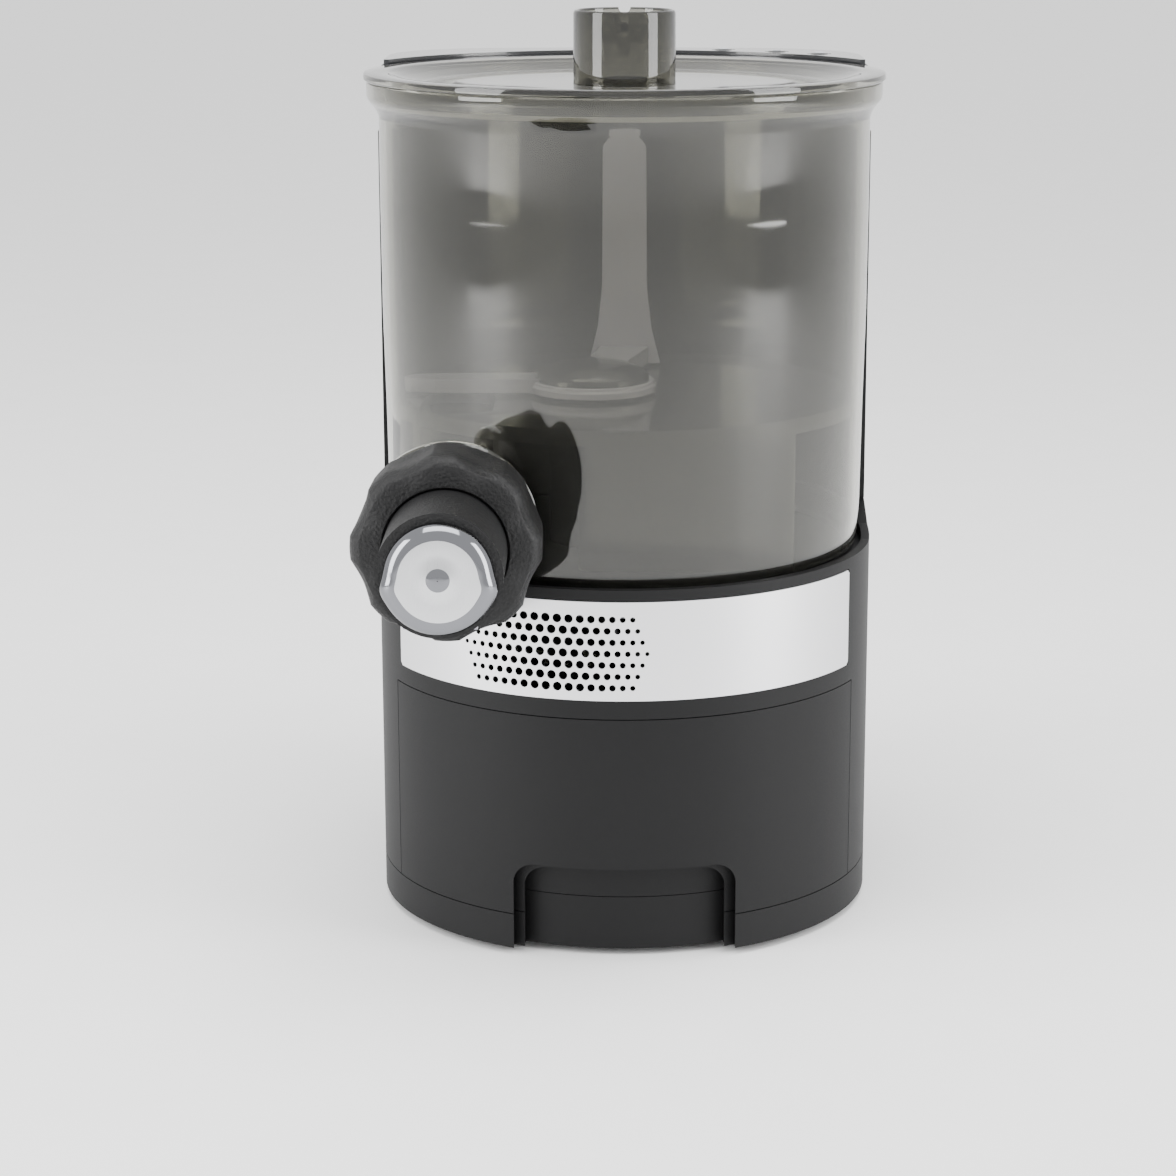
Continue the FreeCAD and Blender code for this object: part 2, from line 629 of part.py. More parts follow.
def gear_plate(low):
    high = low + PLATE_THICK
    plate = plate_outline(low, high)
    for x, y in FRAME_BOLTS:
        plate = plate.cut(rod(3.0, low - 1.0, high + 1.0, x, y))
    for centre in (PADDLE_AXIS, AUGER_AXIS):
        plate = plate.cut(rod(BEARING_OUTER, low - 1.0, high + 1.0, *centre))
    return plate.cut(rod(4.0, low - 1.0, high + 1.0, *REDUCTION_AXIS))


def lower_plate():
    plate = gear_plate(PLATE_LOW)
    plate = plate.cut(rod(9.0, PLATE_LOW - 1.0, PLATE_LOW + PLATE_THICK + 1.0, *MOTOR_AXIS))
    for x, y in motor_screw_places():
        plate = plate.cut(rod(2.0, PLATE_LOW - 1.0, PLATE_LOW + PLATE_THICK + 1.0, x, y))
    return plate


def upper_plate():
    return gear_plate(UPPER_PLATE_LOW)


def frame_bolts():
    made = []
    for x, y in FRAME_BOLTS:
        head = hexagon(5.5, PLATE_LOW - 4.0, PLATE_LOW, x, y)
        made.append(head.fuse(rod(3.0, PLATE_LOW, DECK_LOW + 2.5, x, y)))
    return Part.makeCompound(made)


def frame_spacers():
    made = []
    for x, y in FRAME_BOLTS:
        made.append(ring(5.0, 3.0, PLATE_LOW + PLATE_THICK, UPPER_PLATE_LOW, x, y))
        made.append(ring(5.0, 3.0, UPPER_PLATE_LOW + PLATE_THICK, DECK_LOW, x, y))
    return Part.makeCompound(made)


# Motor
def motor_screw_places():
    return [spot(MOTOR_AXIS, 24.0, angle) for angle in (45.0, 225.0)]


def motor_can():
    x, y = MOTOR_AXIS
    can = rod(MOTOR_RADIUS, MOTOR_LOW, PLATE_LOW, x, y)
    can = can.cut(rod(MOTOR_RADIUS - 2.0, MOTOR_LOW + 2.0, PLATE_LOW - 2.0, x, y))
    can = can.fuse(rod(9.0, MOTOR_LOW - 4.0, MOTOR_LOW, x, y))
    can = can.cut(rod(3.05, MOTOR_LOW - 3.0, PLATE_LOW + 1.0, x, y))
    can = can.cut(rod(3.05, MOTOR_LOW - 1.0, MOTOR_LOW + 3.0, x, y))
    for k in range(4):
        px, py = spot(MOTOR_AXIS, 22.0, 90.0 * k)
        can = can.cut(rod(4.0, MOTOR_LOW - 1.0, MOTOR_LOW + 3.0, px, py))
    for px, py in motor_screw_places():
        can = can.cut(rod(2.0, PLATE_LOW - 3.0, PLATE_LOW + 1.0, px, py))
    return can.removeSplitter()


def motor_magnets():
    x, y = MOTOR_AXIS
    sleeve = ring(MOTOR_RADIUS - 2.0, MOTOR_RADIUS - 7.0, MOTOR_LOW + 8.0, PLATE_LOW - 8.0, x, y)
    gap = block(x - 6.0, x + 6.0, y - 50.0, y + 50.0, MOTOR_LOW, PLATE_LOW)
    return sleeve.cut(gap)


def motor_rotor():
    x, y = MOTOR_AXIS
    core = rod(MOTOR_RADIUS - 8.0, MOTOR_LOW + 14.0, PLATE_LOW - 14.0, x, y)
    for k in range(10):
        px, py = spot(MOTOR_AXIS, MOTOR_RADIUS - 9.0, 36.0 * k)
        core = core.cut(rod(2.6, MOTOR_LOW, PLATE_LOW, px, py))
    return core.cut(rod(3.0, MOTOR_LOW, PLATE_LOW, x, y))


def motor_shaft():
    return rod(3.0, MOTOR_LOW - 2.5, UPPER_GEAR_HIGH + 1.0, *MOTOR_AXIS)


def motor_screws():
    made = []
    for x, y in motor_screw_places():
        head = rod(3.8, PLATE_LOW + PLATE_THICK, PLATE_LOW + PLATE_THICK + 2.4, x, y)
        made.append(head.fuse(rod(2.0, PLATE_LOW - 2.0, PLATE_LOW + PLATE_THICK, x, y)))
    return Part.makeCompound(made)


# Turret that carries the paddle's drive up to the bowl's floor
def turret_form(inset, low, high):
    body = rounded_plate(TURRET_LEFT + inset, TURRET_RIGHT - inset, -TURRET_HALF_DEPTH + inset,
                         TURRET_HALF_DEPTH - inset, low, high, TURRET_CORNER - inset)
    boss = rod(TURRET_BOSS_RADIUS - inset, low, high, *PADDLE_AXIS)
    return body.fuse(boss)


def drive_turret():
    turret = turret_form(0.0, DECK_TOP, TURRET_TOP)
    turret = turret.cut(turret_form(2.6, DECK_TOP - 1.0, TURRET_TOP - 6.0))
    turret = turret.cut(rod(11.0, TURRET_TOP - 5.0, TURRET_TOP - 1.0, *PADDLE_AXIS))
    turret = turret.cut(rod(SHAFT_RADIUS + 1.5, DECK_TOP, TURRET_TOP + 1.0, *PADDLE_AXIS))
    badge = upright([(-13.0, 167.0), (13.0, 167.0), (13.0, 176.0), (10.5, 181.5), (6.0, 185.0),
                     (0.0, 186.0), (-6.0, 185.0), (-10.5, 181.5), (-13.0, 176.0)],
                    -TURRET_HALF_DEPTH - 1.2, -TURRET_HALF_DEPTH)
    hollow = upright([(-11.4, 168.6), (11.4, 168.6), (11.4, 175.6), (9.0, 180.6), (5.0, 183.6),
                      (0.0, 184.4), (-5.0, 183.6), (-9.0, 180.6), (-11.4, 175.6)],
                     -TURRET_HALF_DEPTH - 2.0, -TURRET_HALF_DEPTH - 0.4)
    return turret.fuse(badge.cut(hollow)).removeSplitter()


# Tower: a crescent shell behind the bowl
def crescent(inset, radius, front_y, low, high):
    shape = plan(inset, low, high).cut(rod(radius, low - 1.0, high + 1.0))
    return shape.common(block(-130.0, 130.0, front_y, 200.0, low, high))


def back_cover_block(grow, thick):
    half = BACK_COVER_HALF_WIDTH + grow
    block_space = block(-half, half, 60.0, 140.0, BACK_COVER_LOW - grow, BACK_COVER_HIGH + grow)
    skin = plan(-1.0, 10.0, TOWER_TOP).cut(plan(thick, 9.0, TOWER_TOP + 1.0))
    return block_space.common(skin)


def tower_housing():
    lower = crescent(0.0, TOWER_RADIUS, TOWER_FRONT_Y, TOWER_LOW, CROWN_LOW)
    upper = crescent(0.0, CROWN_RADIUS, CROWN_FRONT_Y, CROWN_LOW, TOWER_TOP)
    lower = lower.cut(crescent(WALL, TOWER_RADIUS + WALL, TOWER_FRONT_Y + WALL + 12.0,
                               TOWER_LOW - 1.0, CROWN_LOW - WALL))
    upper = upper.cut(crescent(WALL, CROWN_RADIUS + WALL, CROWN_FRONT_Y + WALL,
                               CROWN_LOW - WALL - 2.0, TOWER_TOP + 1.0))
    tower = lower.cut(crescent(WALL, CROWN_RADIUS + WALL, CROWN_FRONT_Y + WALL,
                               CROWN_LOW - WALL - 2.0, TOWER_TOP + 1.0)).fuse(upper)
    return tower.cut(back_cover_block(0.4, 4.0)).removeSplitter()


BACK_SCREWS = [(-42.0, 72.0), (42.0, 72.0), (-42.0, 190.0), (42.0, 190.0), (-42.0, 310.0),
               (42.0, 310.0)]
BACK_SCREW_Y = 128.0


def back_cover():
    cover = back_cover_block(0.0, 2.4).common(plan(0.0, 10.0, TOWER_TOP))
    slots = []
    for k in range(9):
        height = 100.0 + 7.0 * k
        slots.append(block(-28.0, 28.0, 110.0, 140.0, height, height + 2.6))
    cover = cover.cut(Part.makeCompound(slots))
    for x, z in BACK_SCREWS:
        cover = cover.fuse(rod_y(5.0, 118.0, 126.6, x, z))
        cover = cover.cut(rod_y(3.1, 125.6, 140.0, x, z))
        cover = cover.cut(rod_y(1.6, 110.0, 140.0, x, z))
    return cover.removeSplitter()


def back_screws():
    made = []
    for x, z in BACK_SCREWS:
        head = rod_y(3.0, 125.7, 127.7, x, z)
        shank = rod_y(1.55, 112.0, 125.7, x, z)
        cross = block(x - 0.4, x + 0.4, 127.0, 129.0, z - 2.0, z + 2.0)
        made.append(head.fuse(shank).cut(cross))
    return Part.makeCompound(made)


# Inlet gland of the mains lead, low on the back
GLAND_RADIUS = 8.0
GLAND_X = 70.0
GLAND_Z = 40.0


def cord_gland():
    collar = rod_y(GLAND_RADIUS, GLAND_FACE_Y - 12.0, GLAND_FACE_Y, GLAND_X, GLAND_Z)
    flange = rod_y(GLAND_RADIUS + 3.0, GLAND_FACE_Y, GLAND_FACE_Y + 2.5, GLAND_X, GLAND_Z)
    nose = Part.makeCone(GLAND_RADIUS - 1.0, GLAND_RADIUS - 3.0, 3.7,
                         Vector(GLAND_X, GLAND_FACE_Y + 2.5, GLAND_Z), Vector(0, 1, 0))
    gland = collar.fuse(flange).fuse(nose)
    return gland.cut(rod_y(3.5, 90.0, 140.0, GLAND_X, GLAND_Z)).removeSplitter()


GLAND_FACE_Y = 126.8

# Control panel, display and the boards under it
BUTTON_PLACES = [("start_button", 44.5, 111.4), ("mode_button", 68.0, 98.9),
                 ("time_button", 86.0, 83.7)]
BUTTON_RADIUS = 5.0
WINDOW_HALF_WIDTH = 19.0
WINDOW_LOW_Y = 113.5
WINDOW_HIGH_Y = 124.5


def control_panel():
    panel = crescent(PANEL_INSET, CROWN_RADIUS + 1.0, CROWN_FRONT_Y + 1.0, TOWER_TOP, PANEL_TOP)
    panel = panel.cut(block(-WINDOW_HALF_WIDTH, WINDOW_HALF_WIDTH, WINDOW_LOW_Y, WINDOW_HIGH_Y,
                            TOWER_TOP - 1.0, PANEL_TOP + 1.0))
    for name, x, y in BUTTON_PLACES:
        panel = panel.cut(rod(BUTTON_RADIUS + 0.3, TOWER_TOP - 1.0, PANEL_TOP + 1.0, x, y))
    return panel


def display_window():
    return block(-WINDOW_HALF_WIDTH, WINDOW_HALF_WIDTH, WINDOW_LOW_Y, WINDOW_HIGH_Y,
                 TOWER_TOP, PANEL_TOP - 0.2)


def push_button(x, y):
    cap = turned([(0.0, PANEL_TOP + 0.6), (3.6, PANEL_TOP + 0.4), (BUTTON_RADIUS, PANEL_TOP - 0.2),
                  (BUTTON_RADIUS, TOWER_TOP - 1.0), (6.4, TOWER_TOP - 1.0),
                  (6.4, TOWER_TOP - 2.2), (2.0, TOWER_TOP - 2.2), (2.0, BOARD_TOP + 4.0),
                  (0.0, BOARD_TOP + 4.0)], x, y)
    return cap


BOARD_LOW = 340.0
BOARD_TOP = 341.6
BOARD_POSTS = [(-30.0, 118.0), (30.0, 118.0), (-76.0, 92.0), (77.0, 97.0)]


def display_board():
    board = crescent(6.0, CROWN_RADIUS + 5.0, 78.0, BOARD_LOW, BOARD_TOP)
    parts = [board, block(-WINDOW_HALF_WIDTH + 1.0, WINDOW_HALF_WIDTH - 1.0,
                          117.0, 123.0, BOARD_TOP, TOWER_TOP - 0.6)]
    for name, x, y in BUTTON_PLACES:
        parts.append(block(x - 3.0, x + 3.0, y - 3.0, y + 3.0, BOARD_TOP, BOARD_TOP + 2.4))
    for x, y in BOARD_POSTS:
        parts.append(ring(2.6, 1.2, BOARD_TOP, TOWER_TOP, x, y))
    return joined(parts)


def main_board():
    parts = [block(-38.0, 38.0, 110.5, 112.1, 200.0, 296.0),
             block(-30.0, -4.0, 112.1, 121.0, 206.0, 236.0),
             block(6.0, 20.0, 112.1, 120.0, 208.0, 226.0),
             block(-20.0, 8.0, 112.1, 116.0, 262.0, 270.0)]
    for k in range(3):
        parts.append(rod_y(4.5, 112.0, 122.0, -22.0 + 14.0 * k, 248.0))
    for x in (-30.0, 30.0):
        parts.append(block(x - 2.0, x + 2.0, 107.0, 110.5, 210.0, 290.0))
    return joined(parts)


# Bowl: clear wall with a skirt, floor with its feed opening
def bowl_wall():
    outside = BOWL_OUTSIDE
    inside = [(radius - BOWL_WALL, z) for radius, z in reversed(outside)]
    wall = turned(outside + inside)
    return wall.cut(rod_y(BARREL_OUTER, -BODY_RADIUS - 10.0, -20.0)).removeSplitter()


def feed_slot(grow, low, high):
    x0 = AUGER_X - FEED_HALF_WIDTH - grow
    x1 = AUGER_X + FEED_HALF_WIDTH + grow
    y0 = FEED_MIDDLE_Y - FEED_LENGTH / 2.0 - grow
    y1 = FEED_MIDDLE_Y + FEED_LENGTH / 2.0 + grow
    return rounded_plate(x0, x1, y0, y1, low, high, 12.0 + grow)


def bowl_floor():
    disc = rod(FLOOR_RADIUS, FLOOR_LOW, FLOOR_TOP)
    rim = ring(FLOOR_RADIUS, FLOOR_RADIUS - 3.0, FLOOR_TOP, FLOOR_RIM_TOP)
    floor = disc.fuse(rim)
    floor = floor.cut(feed_slot(0.0, FLOOR_LOW - 1.0, FLOOR_RIM_TOP + 1.0))
    return floor.cut(rod(12.0, FLOOR_LOW - 1.0, FLOOR_TOP + 1.0, *PADDLE_AXIS)).removeSplitter()


def floor_bush():
    x, y = PADDLE_AXIS
    bush = ring(12.0, 9.0, FLOOR_LOW, FLOOR_TOP, x, y)
    return bush.fuse(ring(14.0, 9.0, FLOOR_LOW - 1.2, FLOOR_LOW, x, y)).removeSplitter()


# Barrel of the auger: tube, feed chute and the neck that takes the nut
def auger_barrel():
    tube = rod_y(BARREL_OUTER, NECK_BACK, BARREL_BACK)
    flange = rod_y(31.0, NECK_BACK - 2.4, NECK_BACK)
    neck = rod_y(NECK_RADIUS, NECK_FRONT, NECK_BACK)
    chute = feed_slot(2.6, AUGER_Z, FLOOR_LOW)
    bore = rod_y(BARREL_INNER, NECK_FRONT - 1.0, BARREL_BACK - 3.0)
    mouth = feed_slot(0.0, AUGER_Z, FLOOR_LOW + 1.0)
    chute = chute.common(rod(BODY_RADIUS - BOWL_WALL - 7.4, AUGER_Z, FLOOR_LOW + 1.0))
    barrel = tube.fuse(flange).fuse(neck).fuse(chute).cut(bore).cut(mouth)
    return barrel.cut(rod_y(BUSH_OUTER, BARREL_BACK - 5.0, BARREL_BACK + 1.0)).removeSplitter()


BARREL_BACK = 4.0
BUSH_OUTER = 11.0
TAIL_RADIUS = 7.0


def auger_bush():
    return ring_y(BUSH_OUTER, TAIL_RADIUS + 0.05, BARREL_BACK - 3.0, BARREL_BACK + 1.4)


def auger():
    turns_length = AUGER_BACK - AUGER_FRONT - 8.0
    helix = Part.makeHelix(AUGER_PITCH, turns_length, AUGER_CORE)
    corners = [Vector(AUGER_CORE - 1.0, 0, -2.6), Vector(AUGER_RADIUS, 0, -1.5),
               Vector(AUGER_RADIUS, 0, 1.5), Vector(AUGER_CORE - 1.0, 0, 2.6)]
    profile = Part.makePolygon(corners + corners[:1])
    flight = Part.Wire(helix.Edges).makePipeShell([profile], True, True)
    flight.rotate(Vector(0, 0, 0), Vector(1, 0, 0), -90.0)
    flight.translate(Vector(AUGER_X, AUGER_FRONT + 4.0, AUGER_Z))
    core = rod_y(AUGER_CORE, AUGER_FRONT, AUGER_BACK)
    nose = Part.makeCone(AUGER_CORE, 3.0, 8.0, Vector(AUGER_X, AUGER_FRONT, AUGER_Z),
                         Vector(0, -1, 0))
    tail = rod_y(TAIL_RADIUS, AUGER_BACK, BEVEL_APEX.y - BEVEL_PITCH_RADIUS - 4.0)
    drive = rod_y(4.0, BEVEL_APEX.y - BEVEL_PITCH_RADIUS - 4.0, BEVEL_APEX.y - 8.6)
    return core.fuse(nose).fuse(tail).fuse(drive).fuse(flight).removeSplitter()


AUGER_FRONT = -116.0
AUGER_BACK = 0.4


# Bevel gears: straight teeth that all run to the apex
def bevel_wheel(phase):
    flank = [(BEVEL_ROOT_RADIUS, 0.132), (BEVEL_PITCH_RADIUS, 0.080), (BEVEL_TIP_RADIUS, 0.044)]
    points = []
    for k in range(BEVEL_TEETH):
        middle = math.radians(phase) + 2.0 * math.pi * k / BEVEL_TEETH
        for radius, away in flank:
            points.append((radius * math.cos(middle - away), radius * math.sin(middle - away)))
        for radius, away in reversed(flank):
            points.append((radius * math.cos(middle + away), radius * math.sin(middle + away)))
    rings = []
    for share in (1.0, BEVEL_FACE_SHARE):
        corners = [Vector(x * share, y * share, -BEVEL_PITCH_RADIUS * share) for x, y in points]
        rings.append(Part.makePolygon(corners + corners[:1]))
    return Part.makeLoft(rings, True, True)


def bevel_gear():
    wheel = bevel_wheel(90.0)
    back = rod(BEVEL_ROOT_RADIUS - 0.6, -BEVEL_PITCH_RADIUS - 3.0, -BEVEL_PITCH_RADIUS)
    wheel = wheel.fuse(back).cut(rod(4.0, -30.0, 0.0))
    wheel.rotate(Vector(0, 0, 0), Vector(1, 0, 0), -90.0)
    wheel.translate(BEVEL_APEX)
    return wheel.removeSplitter()


def bevel_pinion():
    wheel = bevel_wheel(-90.0 + 180.0 / BEVEL_TEETH)
    low = BEVEL_PINION_LOW - AUGER_Z
    stem = rod(8.0, low, -BEVEL_PITCH_RADIUS)
    wheel = wheel.fuse(stem)
    wheel = wheel.cut(hexagon(5.3, low - 1.0, low + 7.0, 0.0, 0.0))
    wheel.translate(BEVEL_APEX)
    return wheel.removeSplitter()


def bevel_case():
    x, y, z = BEVEL_APEX
    case = rounded_plate(x - 20.5, x + 20.5, BARREL_BACK, y + 20.0, BEVEL_PINION_LOW + 1.2,
                         z + 20.5, 8.0)
    case = case.common(rod(BOWL_FOOT_INSIDE, 150.0, z + 30.0))
    case = case.cut(rod_y(17.6, BARREL_BACK + 2.6, y + 17.4))
    case = case.cut(rod(17.6, BEVEL_PINION_LOW + 4.0, z, x, y))
    case = case.cut(rod(8.1, BEVEL_PINION_LOW, z, x, y))
    case = case.cut(rod_y(BUSH_OUTER, BARREL_BACK - 1.0, BARREL_BACK + 1.4))
    return case.cut(rod_y(TAIL_RADIUS + 1.0, BARREL_BACK - 1.0, y)).removeSplitter()


# Nut with concave flutes
def lock_nut():
    rear = Part.makeCone(NUT_REAR_RADIUS, NUT_SHOULDER_RADIUS, NUT_SHOULDER,
                         Vector(AUGER_X, NUT_BACK, AUGER_Z), Vector(0, -1, 0))
    body = Part.makeCone(NUT_SHOULDER_RADIUS, NUT_RADIUS, NUT_BACK - NUT_FRONT - NUT_SHOULDER - 6.0,
                         Vector(AUGER_X, NUT_BACK - NUT_SHOULDER, AUGER_Z), Vector(0, -1, 0))
    front = Part.makeCone(NUT_RADIUS, NUT_RADIUS - 3.0, 6.0,
                          Vector(AUGER_X, NUT_FRONT + 6.0, AUGER_Z), Vector(0, -1, 0))
    nut = rear.fuse(body).fuse(front)
    for k in range(NUT_FLUTES):
        x, z = spot((AUGER_X, AUGER_Z), NUT_RADIUS + FLUTE_RADIUS - FLUTE_DEPTH,
                    360.0 * (k + 0.5) / NUT_FLUTES)
        nut = nut.cut(rod_y(FLUTE_RADIUS, NUT_FRONT - 1.0, NUT_BACK - NUT_SHOULDER, x, z))
    nut = nut.cut(rod_y(NUT_BORE, NUT_FRONT + 4.5, NUT_BACK + 1.0))
    return nut.cut(rod_y(NUT_HOLE, NUT_FRONT - 1.0, NUT_BACK + 1.0)).removeSplitter()


# Die head: flange, barrel and the window that the dough leaves by
def die_body():
    flange = rod_y(DIE_FLANGE, NUT_FRONT + 5.0, NECK_FRONT - 1.4)
    body = rod_y(DIE_RADIUS, DIE_FRONT, NUT_FRONT + 5.0)
    shape = flange.fuse(body)
    shape = shape.cut(rod_y(DIE_BORE, DIE_FRONT + 2.5, NECK_FRONT))
    window = block(AUGER_X - 14.0, AUGER_X + 14.0, DIE_WINDOW_FRONT, DIE_WINDOW_BACK,
                   AUGER_Z - 30.0, AUGER_Z)
    return shape.cut(window).removeSplitter()


DIE_WINDOW_FRONT = -172.0
DIE_WINDOW_BACK = -150.0


def die_plate():
    low = AUGER_Z - DIE_RADIUS + 2.6
    plate = block(AUGER_X - 14.0, AUGER_X + 14.0, DIE_WINDOW_FRONT, DIE_WINDOW_BACK, low, low + 3.0)
    holes = []
    for row in range(3):
        for k in range(6):
            x = AUGER_X - 10.0 + 4.0 * k
            y = DIE_WINDOW_FRONT + 5.0 + 6.0 * row
            holes.append(rod(1.3, low - 1.0, low + 4.0, x, y))
    return plate.cut(Part.makeCompound(holes))


def die_seal():
    return ring_y(DIE_FLANGE - 1.0, BARREL_INNER + 1.0, NECK_FRONT - 1.4, NECK_FRONT - 0.2)


# Steel cap with a smaller upper half and a small shoulder on each side
def cap_outline(grow, front, back):
    upper = rod_y(CAP_UPPER + grow, front, back)
    lower = rod_y(CAP_LOWER + grow, front, back)
    lower = lower.common(block(AUGER_X - 40.0, AUGER_X + 40.0, front, back, AUGER_Z - 40.0,
                               AUGER_Z - 3.0))
    shape = upper.fuse(lower)
    for side in (-1.0, 1.0):
        bump = rod_y(3.2 + grow, front, back, AUGER_X + side * (CAP_LOWER - 3.0), AUGER_Z - 4.0)
        shape = shape.fuse(bump)
    return shape.removeSplitter()


def die_cap():
    cap = cap_outline(0.0, CAP_FRONT, DIE_FRONT)
    rim = [edge for edge in cap.Edges if edge.BoundBox.YMax < CAP_FRONT + 0.01]
    cap = cap.makeFillet(1.2, rim)
    cap = cap.cut(cap_outline(-1.4, CAP_FRONT + 1.6, DIE_FRONT + 1.0))
    return cap.cut(rod_y(2.5, CAP_FRONT - 1.0, DIE_FRONT)).removeSplitter()


def cap_rivet():
    head = Part.makeSphere(9.0, Vector(AUGER_X, CAP_FRONT + 8.0, AUGER_Z))
    head = head.common(rod_y(RIVET_RADIUS, CAP_FRONT - 5.0, CAP_FRONT))
    return head.fuse(rod_y(2.5, CAP_FRONT, DIE_FRONT)).removeSplitter()


# Lid with its recessed floor, gasket and feed tube
def lid():
    points = [(TUBE_OUTER, 345.8), (84.0, 345.8), (86.5, 346.6), (96.6, 350.3), (96.6, 343.0),
              (99.0, 343.0), (99.6, LID_RIM_LOW), (LID_RADIUS, LID_RIM_LOW),
              (LID_RADIUS, LID_TOP - 0.6), (LID_RADIUS - 0.6, LID_TOP), (98.5, LID_TOP),
              (97.0, LID_TOP - 0.4), (86.0, 348.6), (84.0, 348.0), (TUBE_OUTER, 348.0)]
    return turned(points)


def lid_gasket():
    return ring(99.0, 96.8, 341.2, 343.0)


def feed_tube():
    points = [(TUBE_INNER, TUBE_LOW), (TUBE_OUTER, TUBE_LOW), (TUBE_OUTER, TUBE_TOP - 1.0),
              (TUBE_OUTER - 1.0, TUBE_TOP), (TUBE_INNER + 0.4, TUBE_TOP), (TUBE_INNER, TUBE_TOP - 0.4)]
    tube = turned(points)
    notch = rod_y(TUBE_NOTCH / 2.0, 0.0, 40.0, 0.0, TUBE_TOP)
    return tube.cut(notch)


# Mixing paddle: hub ring, low arm, rear arm with its upright blade
def mixing_paddle():
    x, y = PADDLE_AXIS
    hub = turned([(9.0, PADDLE_LOW), (HUB_RADIUS, PADDLE_LOW), (HUB_RADIUS, 222.0),
                  (HUB_RADIUS - 1.5, 224.0), (9.0, 224.0)], x, y)
    tip = x - PADDLE_REACH
    arm = prism([(x, -9.0), (x, 9.0), (tip + 16.0, 7.0), (tip + 4.0, 4.0), (tip, -2.0),
                 (tip + 3.0, -6.0), (tip + 14.0, -9.0)], PADDLE_LOW, PADDLE_ARM_TOP - 1.6)
    rear = prism([(x - 8.0, 0.0), (x + 8.0, 0.0), (12.0, BLADE_Y + 3.0), (-10.0, BLADE_Y + 3.0)],
                 PADDLE_LOW, PADDLE_ARM_TOP)
    blade = upright([(-16.0, PADDLE_LOW), (16.0, PADDLE_LOW), (12.0, 236.0), (10.0, 254.0),
                     (9.6, BLADE_TOP - 6.0), (5.0, BLADE_TOP), (-5.0, BLADE_TOP),
                     (-9.6, BLADE_TOP - 6.0), (-10.0, 254.0), (-12.0, 236.0)],
                    BLADE_Y - 2.2, BLADE_Y + 2.2)
    paddle = joined([hub, arm, rear, blade])
    paddle = paddle.cut(rod(9.0, PADDLE_LOW - 1.0, 240.0, x, y))
    return paddle.cut(rod(CAP_DOME_RADIUS + 0.1, 223.0, 240.0, x, y)).removeSplitter()


def paddle_spindle():
    x, y = PADDLE_AXIS
    spindle = rod(8.95, FLOOR_LOW - 0.6, 223.0, x, y)
    spindle = spindle.cut(rod(SHAFT_RADIUS + 0.6, FLOOR_LOW - 2.0, FLOOR_LOW, x, y))
    spindle = spindle.fuse(rod(8.95, 223.0, 227.5, x, y))
    return spindle.cut(hexagon(SHAFT_RADIUS + 0.35, FLOOR_LOW - 2.0, 225.6, x, y)).removeSplitter()


def paddle_cap():
    x, y = PADDLE_AXIS
    dome = turned([(8.95, 223.0), (CAP_DOME_RADIUS, 223.0), (CAP_DOME_RADIUS, 225.2),
                   (CAP_DOME_RADIUS - 1.6, 227.4), (19.0, 229.6), (13.0, 231.4), (6.0, 232.3),
                   (0.0, 232.5), (0.0, 227.5), (8.95, 227.5)], x, y)
    return dome


def all_pieces():
    pieces = {
        "base_tray": base_tray(), "rubber_feet": rubber_feet(), "tray_screws": tray_screws(),
        "base_housing": base_housing(), "front_cover": front_cover(), "vent_band": vent_band(),
        "fan_frame": fan_frame(), "fan_rotor": fan_rotor(),
        "lower_plate": lower_plate(), "upper_plate": upper_plate(),
        "frame_bolts": frame_bolts(), "frame_spacers": frame_spacers(),
        "paddle_wheel": paddle_wheel(), "paddle_shaft": paddle_shaft(),
        "auger_wheel": auger_wheel(), "auger_shaft": auger_shaft(),
        "reduction_pinion": reduction_pinion(), "reduction_wheel": reduction_wheel(),
        "reduction_axle": reduction_axle(), "shaft_bearings": shaft_bearings(),
        "shaft_seals": shaft_seals(),
        "motor_can": motor_can(), "motor_magnets": motor_magnets(), "motor_rotor": motor_rotor(),
        "motor_shaft": motor_shaft(), "motor_pinion": motor_pinion(),
        "motor_screws": motor_screws(), "drive_turret": drive_turret(),
        "tower_housing": tower_housing(), "back_cover": back_cover(),
        "back_screws": back_screws(), "cord_gland": cord_gland(),
        "control_panel": control_panel(), "display_window": display_window(),
        "display_board": display_board(),
        "main_board": main_board(),
        "bowl_wall": bowl_wall(), "bowl_floor": bowl_floor(), "floor_bush": floor_bush(),
        "auger_barrel": auger_barrel(), "auger_bush": auger_bush(),
        "bevel_case": bevel_case(), "auger": auger(), "bevel_gear": bevel_gear(),
        "bevel_pinion": bevel_pinion(), "lock_nut": lock_nut(), "die_body": die_body(),
        "die_plate": die_plate(), "die_seal": die_seal(), "die_cap": die_cap(),
        "cap_rivet": cap_rivet(), "lid": lid(), "lid_gasket": lid_gasket(),
        "feed_tube": feed_tube(), "mixing_paddle": mixing_paddle(),
        "paddle_spindle": paddle_spindle(), "paddle_cap": paddle_cap(),
    }
    for name, x, y in BUTTON_PLACES:
        pieces[name] = push_button(x, y)
    return pieces


def main():
    os.makedirs("parts", exist_ok=True)
    for name, shape in all_pieces().items():
        shape.translate(FRAME_SHIFT)
        shape.exportStep("parts/" + name + ".step")
        box = shape.BoundBox
        print(name, len(shape.Solids), "valid" if shape.isValid() else "INVALID",
              round(shape.Volume), [round(v, 1) for v in (box.XMin, box.XMax, box.YMin,
                                                          box.YMax, box.ZMin, box.ZMax)])


main()
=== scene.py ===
# %% [markdown]
# An electric pasta maker: a charcoal motor base with a steel band, a smoked clear mixing bowl with its lid,
# and a side extruder with a fluted nut. The construction is loaded first and stays as it is. Blender gives
# each surface its finish and models the clear and moulded parts again, with smooth curves and soft edges.

